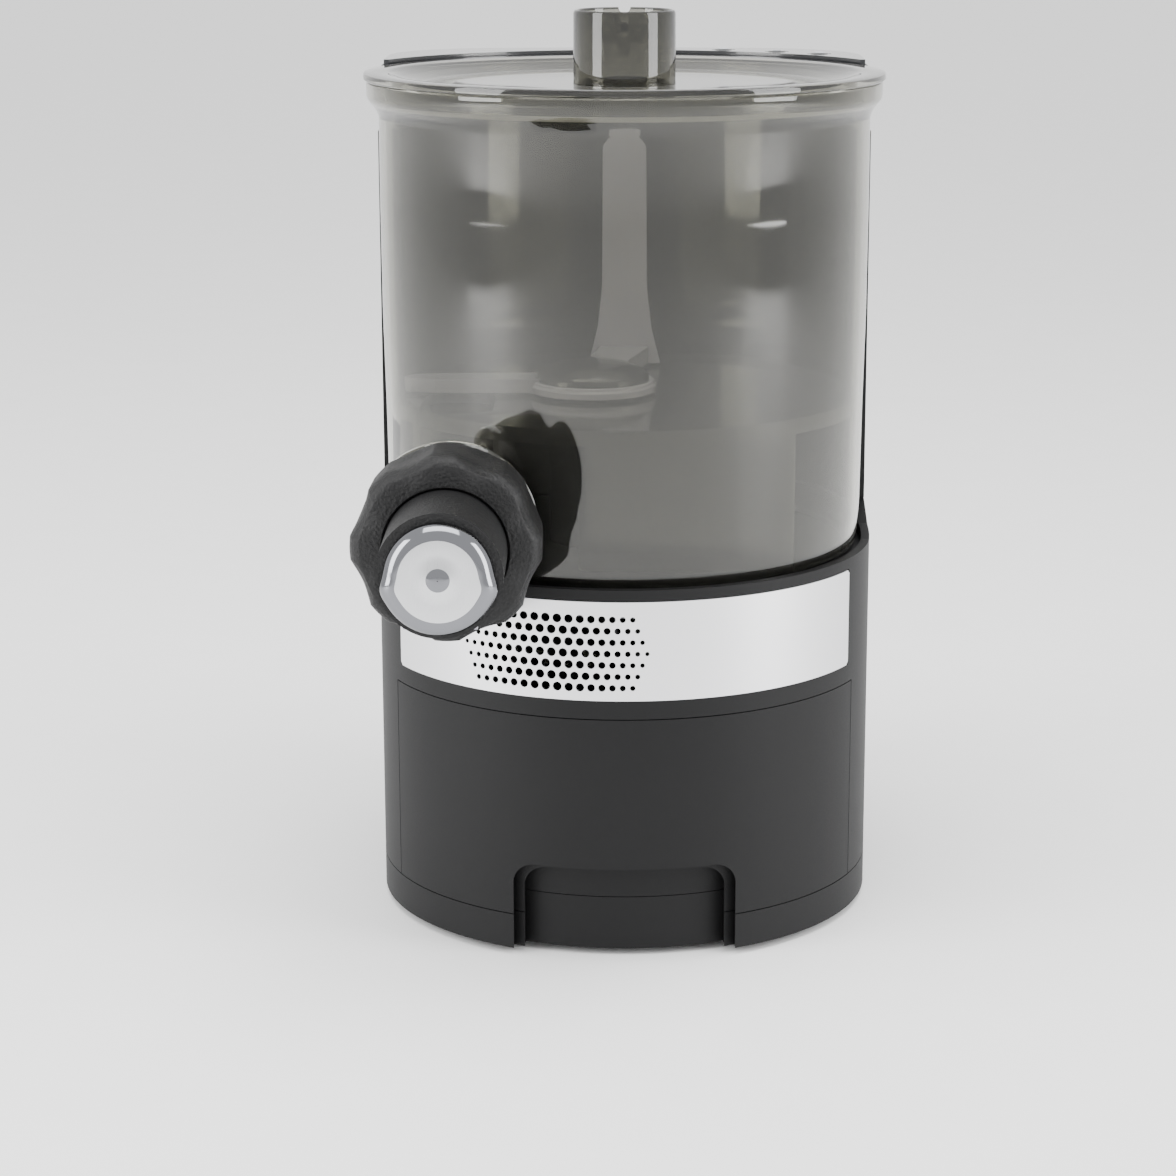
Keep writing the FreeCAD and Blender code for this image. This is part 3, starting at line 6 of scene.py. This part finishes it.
# %% Load the frame and note its size
import bpy
import math
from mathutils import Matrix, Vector


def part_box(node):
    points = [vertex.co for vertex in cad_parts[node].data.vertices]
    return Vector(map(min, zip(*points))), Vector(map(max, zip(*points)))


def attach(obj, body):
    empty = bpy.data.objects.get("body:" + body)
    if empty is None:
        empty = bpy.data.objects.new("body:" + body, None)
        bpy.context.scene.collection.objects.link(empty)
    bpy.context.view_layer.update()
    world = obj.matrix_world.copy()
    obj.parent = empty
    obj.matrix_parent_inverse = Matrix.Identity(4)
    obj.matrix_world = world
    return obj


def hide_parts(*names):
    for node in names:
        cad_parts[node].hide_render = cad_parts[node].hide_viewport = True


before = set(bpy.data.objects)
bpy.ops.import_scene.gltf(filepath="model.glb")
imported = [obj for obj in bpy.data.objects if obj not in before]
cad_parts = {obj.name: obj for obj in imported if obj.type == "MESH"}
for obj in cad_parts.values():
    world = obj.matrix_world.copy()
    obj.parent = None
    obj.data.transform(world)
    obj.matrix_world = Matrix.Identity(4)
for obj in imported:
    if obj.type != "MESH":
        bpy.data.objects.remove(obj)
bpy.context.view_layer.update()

# %% [markdown]
# Every place in this file is in metres in the frame's own axes. The driving sizes are the bowl's axis, the
# auger's axis and the paddle's axis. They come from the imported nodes, so nothing is fitted by eye.

# %% Axes of the machine, read from the frame
MM = 0.001


def middle(node):
    low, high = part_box(node)
    return Vector([(a + b) / 2.0 for a, b in zip(low, high)])


BOWL = middle("feed_tube").xy
DIE = middle("lock_nut")
HUB = middle("paddle_cap")
print("bowl axis", tuple(BOWL), "auger axis", tuple(DIE))

# %% [markdown]
# Materials are node trees. One helper turns a hex colour to linear, and one adds a node with its settings and
# links. A finish starts from a Principled shader, and its grain is a noise scaled in millimetres.

# %% Colour and node helpers


def linear(code):
    parts = [int(code[k:k + 2], 16) / 255.0 for k in (1, 3, 5)]
    return [p / 12.92 if p <= 0.04045 else ((p + 0.055) / 1.055) ** 2.4 for p in parts] + [1.0]


def add_node(tree, kind, settings=None, links=None):
    node = tree.nodes.new(kind)
    for key, value in (settings or {}).items():
        if isinstance(key, int) or key in node.inputs:
            node.inputs[key].default_value = value
        else:
            setattr(node, key, value)
    for key, source in (links or {}).items():
        tree.links.new(source, node.inputs[key])
    return node


def finish(name, colour, roughness, **shader):
    material = bpy.data.materials.new(name)
    material.use_nodes = True
    tree = material.node_tree
    surface = tree.nodes["Principled BSDF"]
    surface.inputs["Base Color"].default_value = linear(colour)
    surface.inputs["Roughness"].default_value = roughness
    for key, value in shader.items():
        surface.inputs[key.replace("_", " ")].default_value = value
    return material, tree, surface


# A noise of a real size, stretched along an axis where the finish is brushed
def grain(tree, size_mm, stretch=(1.0, 1.0, 1.0), detail=3.0):
    place = add_node(tree, "ShaderNodeTexCoord")
    mapped = add_node(tree, "ShaderNodeMapping", {"Scale": stretch}, {"Vector": place.outputs["Object"]})
    return add_node(tree, "ShaderNodeTexNoise", {"Scale": 1.0 / (size_mm * MM), "Detail": detail},
                    {"Vector": mapped.outputs["Vector"]})


def roughen(tree, surface, noise, low, high):
    ramp = add_node(tree, "ShaderNodeMapRange", {"To Min": low, "To Max": high},
                    {"Value": noise.outputs["Fac"]})
    tree.links.new(ramp.outputs["Result"], surface.inputs["Roughness"])


def raise_grain(tree, surface, noise, strength, depth_mm):
    bump = add_node(tree, "ShaderNodeBump", {"Strength": strength, "Distance": depth_mm * MM},
                    {"Height": noise.outputs["Fac"]})
    tree.links.new(bump.outputs["Normal"], surface.inputs["Normal"])


def vary_colour(tree, surface, noise, dark, light):
    mix = add_node(tree, "ShaderNodeMix", {"data_type": "RGBA"}, {"Factor": noise.outputs["Fac"]})
    mix.inputs[6].default_value = linear(dark)
    mix.inputs[7].default_value = linear(light)
    tree.links.new(mix.outputs[2], surface.inputs["Base Color"])


# %% [markdown]
# The body is ABS moulded against a spark-eroded tool: matte, with a very fine grain that breaks up the
# highlight. The real grain is about 0.1 mm, too fine to show, so it is drawn at 0.6 mm with little depth.

# %% Moulded plastics


def moulded(name, dark, light, rough_low, rough_high, grain_mm, strength, depth_mm, **shader):
    material, tree, surface = finish(name, light, rough_high, **shader)
    fine = grain(tree, grain_mm)
    broad = grain(tree, 24.0, detail=2.0)
    vary_colour(tree, surface, broad, dark, light)
    roughen(tree, surface, fine, rough_low, rough_high)
    raise_grain(tree, surface, fine, strength, depth_mm)
    return material


charcoal_abs = moulded("charcoal_moulded_abs", "#0a0a0b", "#0c0c0d", 0.50, 0.62, 0.6, 0.25, 0.02,
                       Specular_IOR_Level=0.22)
nut_nylon = moulded("grained_black_nylon", "#040405", "#080809", 0.42, 0.7, 1.3, 1.0, 0.5,
                    Specular_IOR_Level=0.35)
inner_abs = moulded("plain_black_abs", "#030303", "#050505", 0.8, 0.9, 1.0, 0.1, 0.02,
                    Specular_IOR_Level=0.1)
rubber = moulded("black_rubber", "#151515", "#1d1d1d", 0.7, 0.85, 0.8, 0.3, 0.05)
gear_pom = moulded("natural_pom", "#cfcabb", "#ddd8ca", 0.35, 0.5, 2.0, 0.1, 0.02)
paddle_pp = moulded("polished_grey_polypropylene", "#a3a1ac", "#b4b2bd", 0.16, 0.26, 4.0, 0.05, 0.02,
                    Coat_Weight=0.4, Coat_Roughness=0.08)
dark_gloss = moulded("gloss_black_abs", "#040404", "#070708", 0.08, 0.14, 3.0, 0.03, 0.01,
                     Coat_Weight=0.3, Coat_Roughness=0.04)
panel_gloss = moulded("printed_grey_panel_film", "#1c1d1f", "#242528", 0.16, 0.24, 2.0, 0.03, 0.01,
                      Coat_Weight=0.7, Coat_Roughness=0.05)
smoked_floor = moulded("smoked_moulded_copolyester", "#11110f", "#161613", 0.12, 0.16, 12.0, 0.02, 0.01,
                       Coat_Weight=0.5, Coat_Roughness=0.06)
# The barrel's grey is partly its own smoked tint and partly painted light: it is raised well above the smoked
# floor so that the barrel looks lit by light through the clear bowl wall.
smoked_barrel_painted_light = moulded("smoked_barrel_with_painted_light", "#34342f", "#3b3b36", 0.15, 0.2, 12.0, 0.02, 0.01,
                        Coat_Weight=0.5, Coat_Roughness=0.06)
silicone = moulded("milky_silicone", "#a9a8a2", "#bdbcb6", 0.4, 0.55, 3.0, 0.1, 0.03)
board_mask = moulded("green_solder_mask", "#123c22", "#19502e", 0.3, 0.45, 3.0, 0.2, 0.05)
windings = moulded("varnished_copper_windings", "#6b3417", "#8f4a22", 0.3, 0.45, 1.2, 0.7, 0.3)
white_ink = moulded("white_screen_ink", "#b9bcbf", "#c9ccd0", 0.45, 0.55, 0.6, 0.1, 0.01)

# %% [markdown]
# The band and the cap are stainless steel. Brushing leaves long fine scratches, so the noise is stretched
# along the stroke: round the body on the band, upright on the cap. A metal keeps its default IOR.

# %% Steels and bronze


def brushed(name, colour, low, high, line_mm, stretch, depth_mm):
    material, tree, surface = finish(name, colour, high, Metallic=1.0)
    lines = grain(tree, line_mm, stretch, 4.0)
    roughen(tree, surface, lines, low, high)
    raise_grain(tree, surface, lines, 0.35, depth_mm)
    return material


band_steel = brushed("satin_stainless_band", "#e4e4e6", 0.26, 0.40, 0.5, (0.03, 0.03, 1.0), 0.012)
cap_steel = brushed("upright_brushed_stainless", "#cfd0d2", 0.20, 0.38, 0.45, (1.0, 1.0, 0.03), 0.015)
machined = brushed("machined_mild_steel", "#a9abb0", 0.25, 0.42, 0.6, (1.0, 1.0, 0.1), 0.01)
bronze = brushed("sintered_bronze", "#a8834a", 0.35, 0.5, 0.5, (1.0, 1.0, 1.0), 0.03)

# %% [markdown]
# The bowl, lid and tube are a smoked clear copolyester, tinted a warm grey. Light is tinted at each surface
# it crosses, so the colour is light. A small share stays diffuse, which gives the plastic a slight haze.

# %% Smoked clear plastic
SMOKE_IOR = 1.5
SMOKE_CLEAR = 0.985


def smoked(name, colour, roughness):
    material, tree, surface = finish(name, colour, roughness, IOR=SMOKE_IOR, Transmission_Weight=SMOKE_CLEAR)
    roughen(tree, surface, grain(tree, 30.0), roughness, roughness + 0.03)
    return material


bowl_clear = smoked("smoked_clear_copolyester", "#b2b1a7", 0.01)
lid_clear = smoked("smoked_clear_lid", "#bebdb4", 0.01)
tube_clear = smoked("smoked_clear_tube", "#97968d", 0.02)

# %% Give each carried-over node its finish
FINISHES = [
    (charcoal_abs, "base_tray base_housing front_cover tower_housing back_cover"),
    (panel_gloss, "control_panel"),
    (dark_gloss, "display_window start_button mode_button time_button paddle_cap"),
    (inner_abs, "fan_rotor fan_frame"), (nut_nylon, "die_body"),
    (band_steel, "vent_band"), (cap_steel, "die_cap cap_rivet"),
    (rubber, "rubber_feet cord_gland shaft_seals"), (bowl_clear, "bowl_wall"), (lid_clear, "lid"),
    (tube_clear, "feed_tube"), (smoked_floor, "bowl_floor bevel_case drive_turret"),
    # The barrel's finish is lightened with painted light, standing in for light through the clear bowl wall.
    (smoked_barrel_painted_light, "auger_barrel"),
    (nut_nylon, "lock_nut"), (paddle_pp, "mixing_paddle auger die_plate"),
    (gear_pom, "paddle_wheel auger_wheel reduction_wheel bevel_gear bevel_pinion paddle_spindle"),
    (board_mask, "main_board display_board"), (bronze, "floor_bush auger_bush"),
    (windings, "motor_rotor"), (silicone, "lid_gasket die_seal"),
]
named = {node: material for material, nodes in FINISHES for node in nodes.split()}
for node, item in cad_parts.items():
    material = named.get(node, machined)
    if not item.material_slots:
        item.data.materials.append(material)
    for slot in item.material_slots:
        slot.material = material
print("finishes given to", len(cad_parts), "nodes")

# %% [markdown]
# Round parts are made as on a lathe: a circle is added at the first point of the section, and each further
# point extrudes the edge and scales it to the new radius. A closed section ends where it began, and its
# doubled ring is merged.

# %% A lathe made of a circle and extrusions
TURNS = 160


def deselect():
    if bpy.context.object and bpy.context.object.mode != "OBJECT":
        bpy.ops.object.mode_set(mode="OBJECT")
    bpy.ops.object.select_all(action="DESELECT")


def lathe(name, section, axis, turns=TURNS, along_y=False):
    deselect()
    radius, height = section[0]
    centre = Vector((axis[0], axis[1], height * MM))
    bpy.ops.mesh.primitive_circle_add(vertices=turns, radius=radius * MM, location=centre)
    piece = bpy.context.object
    piece.name = name
    piece.data.name = name
    bpy.ops.object.mode_set(mode="EDIT")
    bpy.ops.mesh.select_all(action="SELECT")
    before = section[0]
    for point in list(section[1:]) + [section[0]]:
        rise = (point[1] - before[1]) * MM
        bpy.ops.mesh.extrude_region_move(TRANSFORM_OT_translate={"value": (0.0, 0.0, rise)})
        share = point[0] / before[0]
        bpy.ops.transform.resize(value=(share, share, 1.0),
                                 center_override=(axis[0], axis[1], point[1] * MM))
        before = point
    bpy.ops.mesh.select_all(action="SELECT")
    bpy.ops.mesh.remove_doubles(threshold=0.00002)
    bpy.ops.mesh.normals_make_consistent(inside=False)
    bpy.ops.object.mode_set(mode="OBJECT")
    bpy.ops.object.transform_apply(location=True, rotation=True, scale=True)
    if along_y:
        for vertex in piece.data.vertices:
            x, y, z = vertex.co
            vertex.co = (x, z, y)
        bpy.ops.object.mode_set(mode="EDIT")
        bpy.ops.mesh.select_all(action="SELECT")
        bpy.ops.mesh.normals_make_consistent(inside=False)
        bpy.ops.object.mode_set(mode="OBJECT")
    bpy.ops.object.shade_smooth_by_angle(angle=math.radians(32.0))
    print(name, len(piece.data.polygons), "faces")
    return piece


def apply_modifier(piece, kind, **settings):
    deselect()
    piece.select_set(True)
    bpy.context.view_layer.objects.active = piece
    modifier = piece.modifiers.new(kind.lower(), kind)
    for key, value in settings.items():
        setattr(modifier, key, value)
    bpy.ops.object.modifier_apply(modifier=modifier.name)


def dress(piece, material, body, slot, *nodes):
    piece.data.materials.clear()
    piece.data.materials.append(material)
    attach(piece, body)
    if nodes:
        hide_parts(*nodes)


def carve(piece, cutter):
    apply_modifier(piece, "BOOLEAN", operation="DIFFERENCE", object=cutter, solver="EXACT")
    bpy.data.objects.remove(cutter)
    bpy.ops.object.shade_smooth_by_angle(angle=math.radians(32.0))


# %% [markdown]
# The bowl tapers slightly, turns in round its foot and flares at the mouth into an upright collar. Its
# section is drawn with more points than the CAD one, so each curve is smooth where light runs along it.

# %% Clear bowl
WALL = 2.6
NECK_HOLE = 25.5 * MM
HOLE_DEPTH = 0.1
HOLE_AHEAD = 0.07
OUTSIDE = [(96.4, 155.0), (97.7, 155.6), (98.7, 156.9), (99.3, 158.6), (99.6, 160.6), (100.3, 172.0),
           (100.9, 215.0), (101.7, 252.0), (102.0, 300.0), (102.0, 335.0), (102.3, 336.4), (103.3, 338.4),
           (105.2, 341.0), (106.5, 342.6), (107.0, 344.2), (107.0, 349.4), (106.5, 350.0)]
inside = [(radius - WALL, height) for radius, height in reversed(OUTSIDE)]
inside[0] = (105.0, 350.0)
bowl = lathe("clear_bowl", OUTSIDE + inside, BOWL)
deselect()
bpy.ops.mesh.primitive_cylinder_add(vertices=96, radius=NECK_HOLE, depth=HOLE_DEPTH,
                                    location=(DIE.x, BOWL.y - HOLE_AHEAD, DIE.z),
                                    rotation=(math.pi / 2, 0, 0))
carve(bowl, bpy.context.object)
dress(bowl, bowl_clear, "bowl", "smoked_clear", "bowl_wall")

# %% [markdown]
# The lid is one clear moulding: a flat rim, a slope down to a dished plate, and a skirt with the seal. The
# tube through it is thicker, with a rounded lip and a small half-round notch.

# %% Lid and feed tube
LID = [(21.3, 345.8), (83.0, 345.8), (85.0, 346.1), (87.0, 347.0), (96.4, 350.3), (96.6, 349.0),
       (96.6, 343.0), (99.0, 343.0), (99.5, 350.0), (100.0, 350.3), (107.5, 350.3), (108.1, 350.8),
       (108.1, 352.6), (107.9, 353.0), (107.4, 353.2), (98.9, 353.2), (97.8, 353.0), (96.8, 352.5),
       (86.4, 348.7), (85.0, 348.2), (83.4, 348.0), (21.3, 348.0)]
lid = lathe("clear_lid", LID, BOWL)
dress(lid, lid_clear, "lid", "smoked_clear", "lid")
TUBE = [(19.2, 337.4), (19.6, 337.0), (20.9, 337.0), (21.25, 337.4), (21.25, 376.8), (21.0, 377.7),
        (20.4, 378.2), (19.9, 378.2), (19.3, 377.8), (19.2, 377.0)]
TUBE_TOP = 0.3782
NOTCH_RADIUS = 2.5 * MM
tube = lathe("clear_feed_tube", TUBE, BOWL, 96)
deselect()
bpy.ops.mesh.primitive_cylinder_add(vertices=32, radius=NOTCH_RADIUS, depth=0.04,
                                    location=(BOWL.x, BOWL.y + 0.02, TUBE_TOP),
                                    rotation=(math.pi / 2, 0, 0))
carve(tube, bpy.context.object)
dress(tube, tube_clear, "lid", "smoked_clear", "feed_tube")

# %% [markdown]
# The lock nut has eight shallow thumb flutes with flat lands between them. It is turned first, and then each
# outer point is drawn towards the axis by a smooth wave, which fades out at the front and back edges.

# %% Fluted lock nut
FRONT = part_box("lock_nut")[0][1] / MM
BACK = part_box("lock_nut")[1][1] / MM
NUT = [(24.5, FRONT + 0.6), (25.1, FRONT), (32.6, FRONT), (33.8, FRONT + 0.3), (35.2, FRONT + 1.2),
       (36.3, FRONT + 2.8), (37.0, FRONT + 4.8), (37.4, FRONT + 6.5), (37.3, FRONT + 12.0),
       (37.2, FRONT + 18.0), (37.0, FRONT + 24.0), (36.9, FRONT + 30.0), (36.6, BACK - 6.6),
       (35.8, BACK - 4.6), (33.8, BACK - 1.4), (32.9, BACK - 0.4), (31.9, BACK), (29.9, BACK),
       (29.9, FRONT + 4.5), (24.5, FRONT + 4.5)]
nut = lathe("fluted_lock_nut", NUT, (DIE.x, DIE.z), 240, along_y=True)
FLUTES = 8
FLUTE_DEPTH = 2.4 * MM
OUTER_START = 33.0 * MM
EDGE_FADE = 2.0 * MM
BACK_STOP = 3.0
BACK_FADE = 8.0
LAND_SHARE = 0.25
FLUTE_POWER = 0.8
for vertex in nut.data.vertices:
    out = Vector((vertex.co.x - DIE.x, vertex.co.z - DIE.z))
    if out.length < OUTER_START:
        continue
    angle = math.atan2(out.y, out.x)
    wave = 0.5 - 0.5 * math.cos(angle * FLUTES)
    depth = vertex.co.y / MM
    fade = min(1.0, max(0.0, (BACK - BACK_STOP - depth) / BACK_FADE))
    fade = fade * min(1.0, (out.length - OUTER_START) / EDGE_FADE)
    hollow = min(1.0, max(0.0, (wave - LAND_SHARE) / (1.0 - LAND_SHARE))) ** FLUTE_POWER
    pull = 1.0 - FLUTE_DEPTH * fade * hollow / out.length
    vertex.co.x = DIE.x + out.x * pull
    vertex.co.z = DIE.z + out.y * pull
dress(nut, nut_nylon, "nut", "nut_grain", "lock_nut")

# %% [markdown]
# The steel cap is a pressing: a flat brushed face with a polished boss, a broad polished slope round it and a
# short wall. Its lower half is a little wider than the upper one, with a soft shoulder where they meet.

# %% Steel cap
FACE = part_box("die_cap")[0][1] / MM
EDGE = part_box("die_cap")[1][1] / MM
polished, polished_tree, polished_surface = finish("polished_stainless_slope", "#77787c", 0.06, Metallic=1.0)
roughen(polished_tree, polished_surface, grain(polished_tree, 6.0), 0.05, 0.12)
CAP = [(0.2, FACE - 1.0), (1.6, FACE - 0.95), (3.0, FACE - 0.7), (4.0, FACE - 0.25), (4.5, FACE),
       (10.0, FACE), (15.8, FACE), (16.7, FACE + 0.12), (18.2, FACE + 0.7), (19.8, FACE + 1.8),
       (21.0, FACE + 3.1), (21.6, FACE + 4.6), (21.6, EDGE), (20.4, EDGE), (20.4, FACE + 4.4),
       (18.6, FACE + 3.0), (16.8, FACE + 2.4), (0.2, FACE + 2.4)]
cap = lathe("pressed_steel_cap", CAP, (DIE.x, DIE.z), 192, along_y=True)
SHOULDER = math.radians(-12.0)
FACE_CENTRE = 12.0 * MM
SWELL_WIDTH = 0.10
BUMP_WIDTH = 0.2
UPPER_SHARE = 0.955
LOWER_GAIN = 0.07
BUMP_GAIN = 0.05
FLAT_WITHIN = 0.03
for vertex in cap.data.vertices:
    out = Vector((vertex.co.x - DIE.x, vertex.co.z - DIE.z))
    if out.length < FACE_CENTRE:
        continue
    rise = math.atan2(out.y, abs(out.x))
    swell = 1.0 / (1.0 + math.exp((rise - SHOULDER) / SWELL_WIDTH))
    bump = math.exp(-((rise - SHOULDER) / BUMP_WIDTH) ** 2)
    share = UPPER_SHARE + LOWER_GAIN * swell + BUMP_GAIN * bump
    vertex.co.x = DIE.x + out.x * share
    vertex.co.z = DIE.z + out.y * share
dress(cap, cap_steel, "die", "steel_band", "die_cap", "cap_rivet")
cap.data.materials.append(polished)
for face in cap.data.polygons:
    depth = sum(cap.data.vertices[k].co.y for k in face.vertices) / len(face.vertices) / MM
    face.material_index = 0 if abs(depth - FACE) < FLAT_WITHIN else 1

# %% [markdown]
# Behind the nut the clear neck ends in a shallow flange. Only its upper part stands free of the base.

# %% Clear flange behind the nut
CUT_BLOCK = 0.1
CUT_BELOW = 0.062
BOWL_ROOM = 102.3 * MM
FLANGE = [(29.6, BACK + 0.5), (34.4, BACK + 0.5), (35.2, BACK + 1.2), (35.4, BACK + 2.4), (35.0, BACK + 6.0),
          (33.2, BACK + 9.0), (29.6, BACK + 9.6)]
flange = lathe("clear_neck_flange", FLANGE, (DIE.x, DIE.z), 160, along_y=True)
deselect()
bpy.ops.mesh.primitive_cube_add(size=CUT_BLOCK, location=(DIE.x, DIE.y, DIE.z - CUT_BELOW))
carve(flange, bpy.context.object)
deselect()
bpy.ops.mesh.primitive_cylinder_add(vertices=160, radius=BOWL_ROOM, depth=0.2,
                                    location=(BOWL.x, BOWL.y, DIE.z))
carve(flange, bpy.context.object)
dress(flange, bowl_clear, "bowl", "smoked_clear")

# %% [markdown]
# The hub carries a glossy dome inside a polished ring. The dome is turned with many rings, so that the
# highlight on it stays smooth.

# %% Paddle dome and its ring
DOME = [(8.95, 223.1), (23.9, 223.1), (24.0, 224.8), (23.7, 225.9), (22.9, 226.9), (21.3, 228.2),
        (18.8, 229.5), (15.5, 230.7), (11.5, 231.6), (7.0, 232.2), (2.5, 232.45), (0.2, 232.5),
        (0.2, 227.5), (8.95, 227.5)]
dome = lathe("gloss_hub_dome", DOME, HUB.xy, 96)
dress(dome, dark_gloss, "paddle", "gloss_black", "paddle_cap")
RING = [(24.3, 224.0), (25.2, 224.2), (26.0, 223.8), (26.4, 222.6), (26.2, 221.0), (25.4, 220.6),
        (24.9, 222.4)]
hub_ring = lathe("polished_hub_ring", RING, HUB.xy, 96)
dress(hub_ring, paddle_pp, "paddle", "paddle_grey")

# %% [markdown]
# The panel's signs are generic: a ring with a bar, three lines and a clock's hands, printed in pale ink.
# Each is a thin raised print on its own button, so it travels with the button.

# %% Printed signs on the buttons
PRINT = 0.12 * MM


def print_bar(x, y, top, width, depth, turn=0.0):
    bpy.ops.mesh.primitive_cube_add(size=1.0, location=(x, y, top + PRINT / 2), rotation=(0, 0, turn))
    bar = bpy.context.object
    bar.scale = (width * MM, depth * MM, PRINT)
    return bar


def print_ring(x, y, top, radius):
    bpy.ops.mesh.primitive_torus_add(location=(x, y, top), major_radius=radius * MM, minor_radius=0.22 * MM,
                                     major_segments=40, minor_segments=6)
    return bpy.context.object


def printed(name, parts, body):
    deselect()
    for part in parts:
        part.select_set(True)
    bpy.context.view_layer.objects.active = parts[0]
    if len(parts) > 1:
        bpy.ops.object.join()
    bpy.ops.object.transform_apply(location=True, rotation=True, scale=True)
    parts[0].name = name
    dress(parts[0], white_ink, body, "seal_silicone")


for body, kind in (("start_button", "power"), ("mode_button", "lines"), ("time_button", "clock")):
    spot = middle(body)
    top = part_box(body)[1][2]
    deselect()
    if kind == "lines":
        marks = [print_bar(spot.x, spot.y + step * MM, top, 3.6, 0.5) for step in (-1.3, 0.0, 1.3)]
    else:
        marks = [print_ring(spot.x, spot.y, top, 2.1), print_bar(spot.x, spot.y + 0.9 * MM, top, 0.45, 1.8)]
    if kind == "clock":
        marks.append(print_bar(spot.x + 0.6 * MM, spot.y, top, 1.3, 0.45))
    printed("sign_" + kind, marks, body)

# %% [markdown]
# The floor is a wide pale sheet. Three soft lights give the broad reflections down the bowl's sides, and a
# pale world fills the rest. The camera stands where the photograph's perspective puts it.

# %% Floor, lights and camera
FLOOR_SIZE = 24.0
SOFTBOX_WATTS = 30.0
WORLD_STRENGTH = 1.5
LIT_POINT = (0, 0, 0.2)
deselect()
bpy.ops.mesh.primitive_plane_add(size=FLOOR_SIZE, location=(0, 0, 0))
floor = bpy.context.object
floor.name = "studio_floor"
paper, paper_tree, paper_surface = finish("pale_paper_floor", "#f4f4f4", 0.6)
vary_colour(paper_tree, paper_surface, grain(paper_tree, 40.0), "#f2f2f2", "#f6f6f6")
floor.data.materials.append(paper)


def soft_light(name, place, target, width, height, watts):
    lamp = bpy.data.lights.new(name, "AREA")
    lamp.shape = "RECTANGLE"
    lamp.size = width
    lamp.size_y = height
    lamp.energy = watts
    item = bpy.data.objects.new(name, lamp)
    item.location = place
    item.rotation_euler = (Vector(target) - Vector(place)).to_track_quat("-Z", "Y").to_euler()
    bpy.context.scene.collection.objects.link(item)


soft_light("left_softbox", (-1.5, -0.7, 0.7), LIT_POINT, 0.7, 1.3, SOFTBOX_WATTS)
soft_light("right_softbox", (1.5, -0.6, 0.7), LIT_POINT, 0.7, 1.3, SOFTBOX_WATTS)
soft_light("top_softbox", (0.0, -0.3, 1.7), LIT_POINT, 1.4, 1.0, SOFTBOX_WATTS)

world = bpy.data.worlds.new("pale_studio")
bpy.context.scene.world = world
world.use_nodes = True
world.node_tree.nodes["Background"].inputs["Color"].default_value = (1.0, 1.0, 1.0, 1.0)
world.node_tree.nodes["Background"].inputs["Strength"].default_value = WORLD_STRENGTH

CAMERA_AHEAD = 1.2583
CAMERA_HEIGHT = 0.441
CAMERA_DOWN = 0.2405
FOCAL_PIXELS = 2998.0
PICTURE_PIXELS = 1176.0
AXIS_PIXEL = 624.5
camera_data = bpy.data.cameras.new("camera")
camera_data.sensor_width = 36.0
camera_data.lens = FOCAL_PIXELS / PICTURE_PIXELS * camera_data.sensor_width
camera_data.shift_x = (PICTURE_PIXELS / 2.0 - AXIS_PIXEL) / PICTURE_PIXELS
camera = bpy.data.objects.new("camera", camera_data)
camera.location = (BOWL.x, BOWL.y - CAMERA_AHEAD, CAMERA_HEIGHT)
camera.rotation_euler = (math.pi / 2.0 - CAMERA_DOWN, 0.0, 0.0)
bpy.context.scene.collection.objects.link(camera)
bpy.context.scene.camera = camera
print("lens", round(camera_data.lens, 2), "shift", round(camera_data.shift_x, 4))
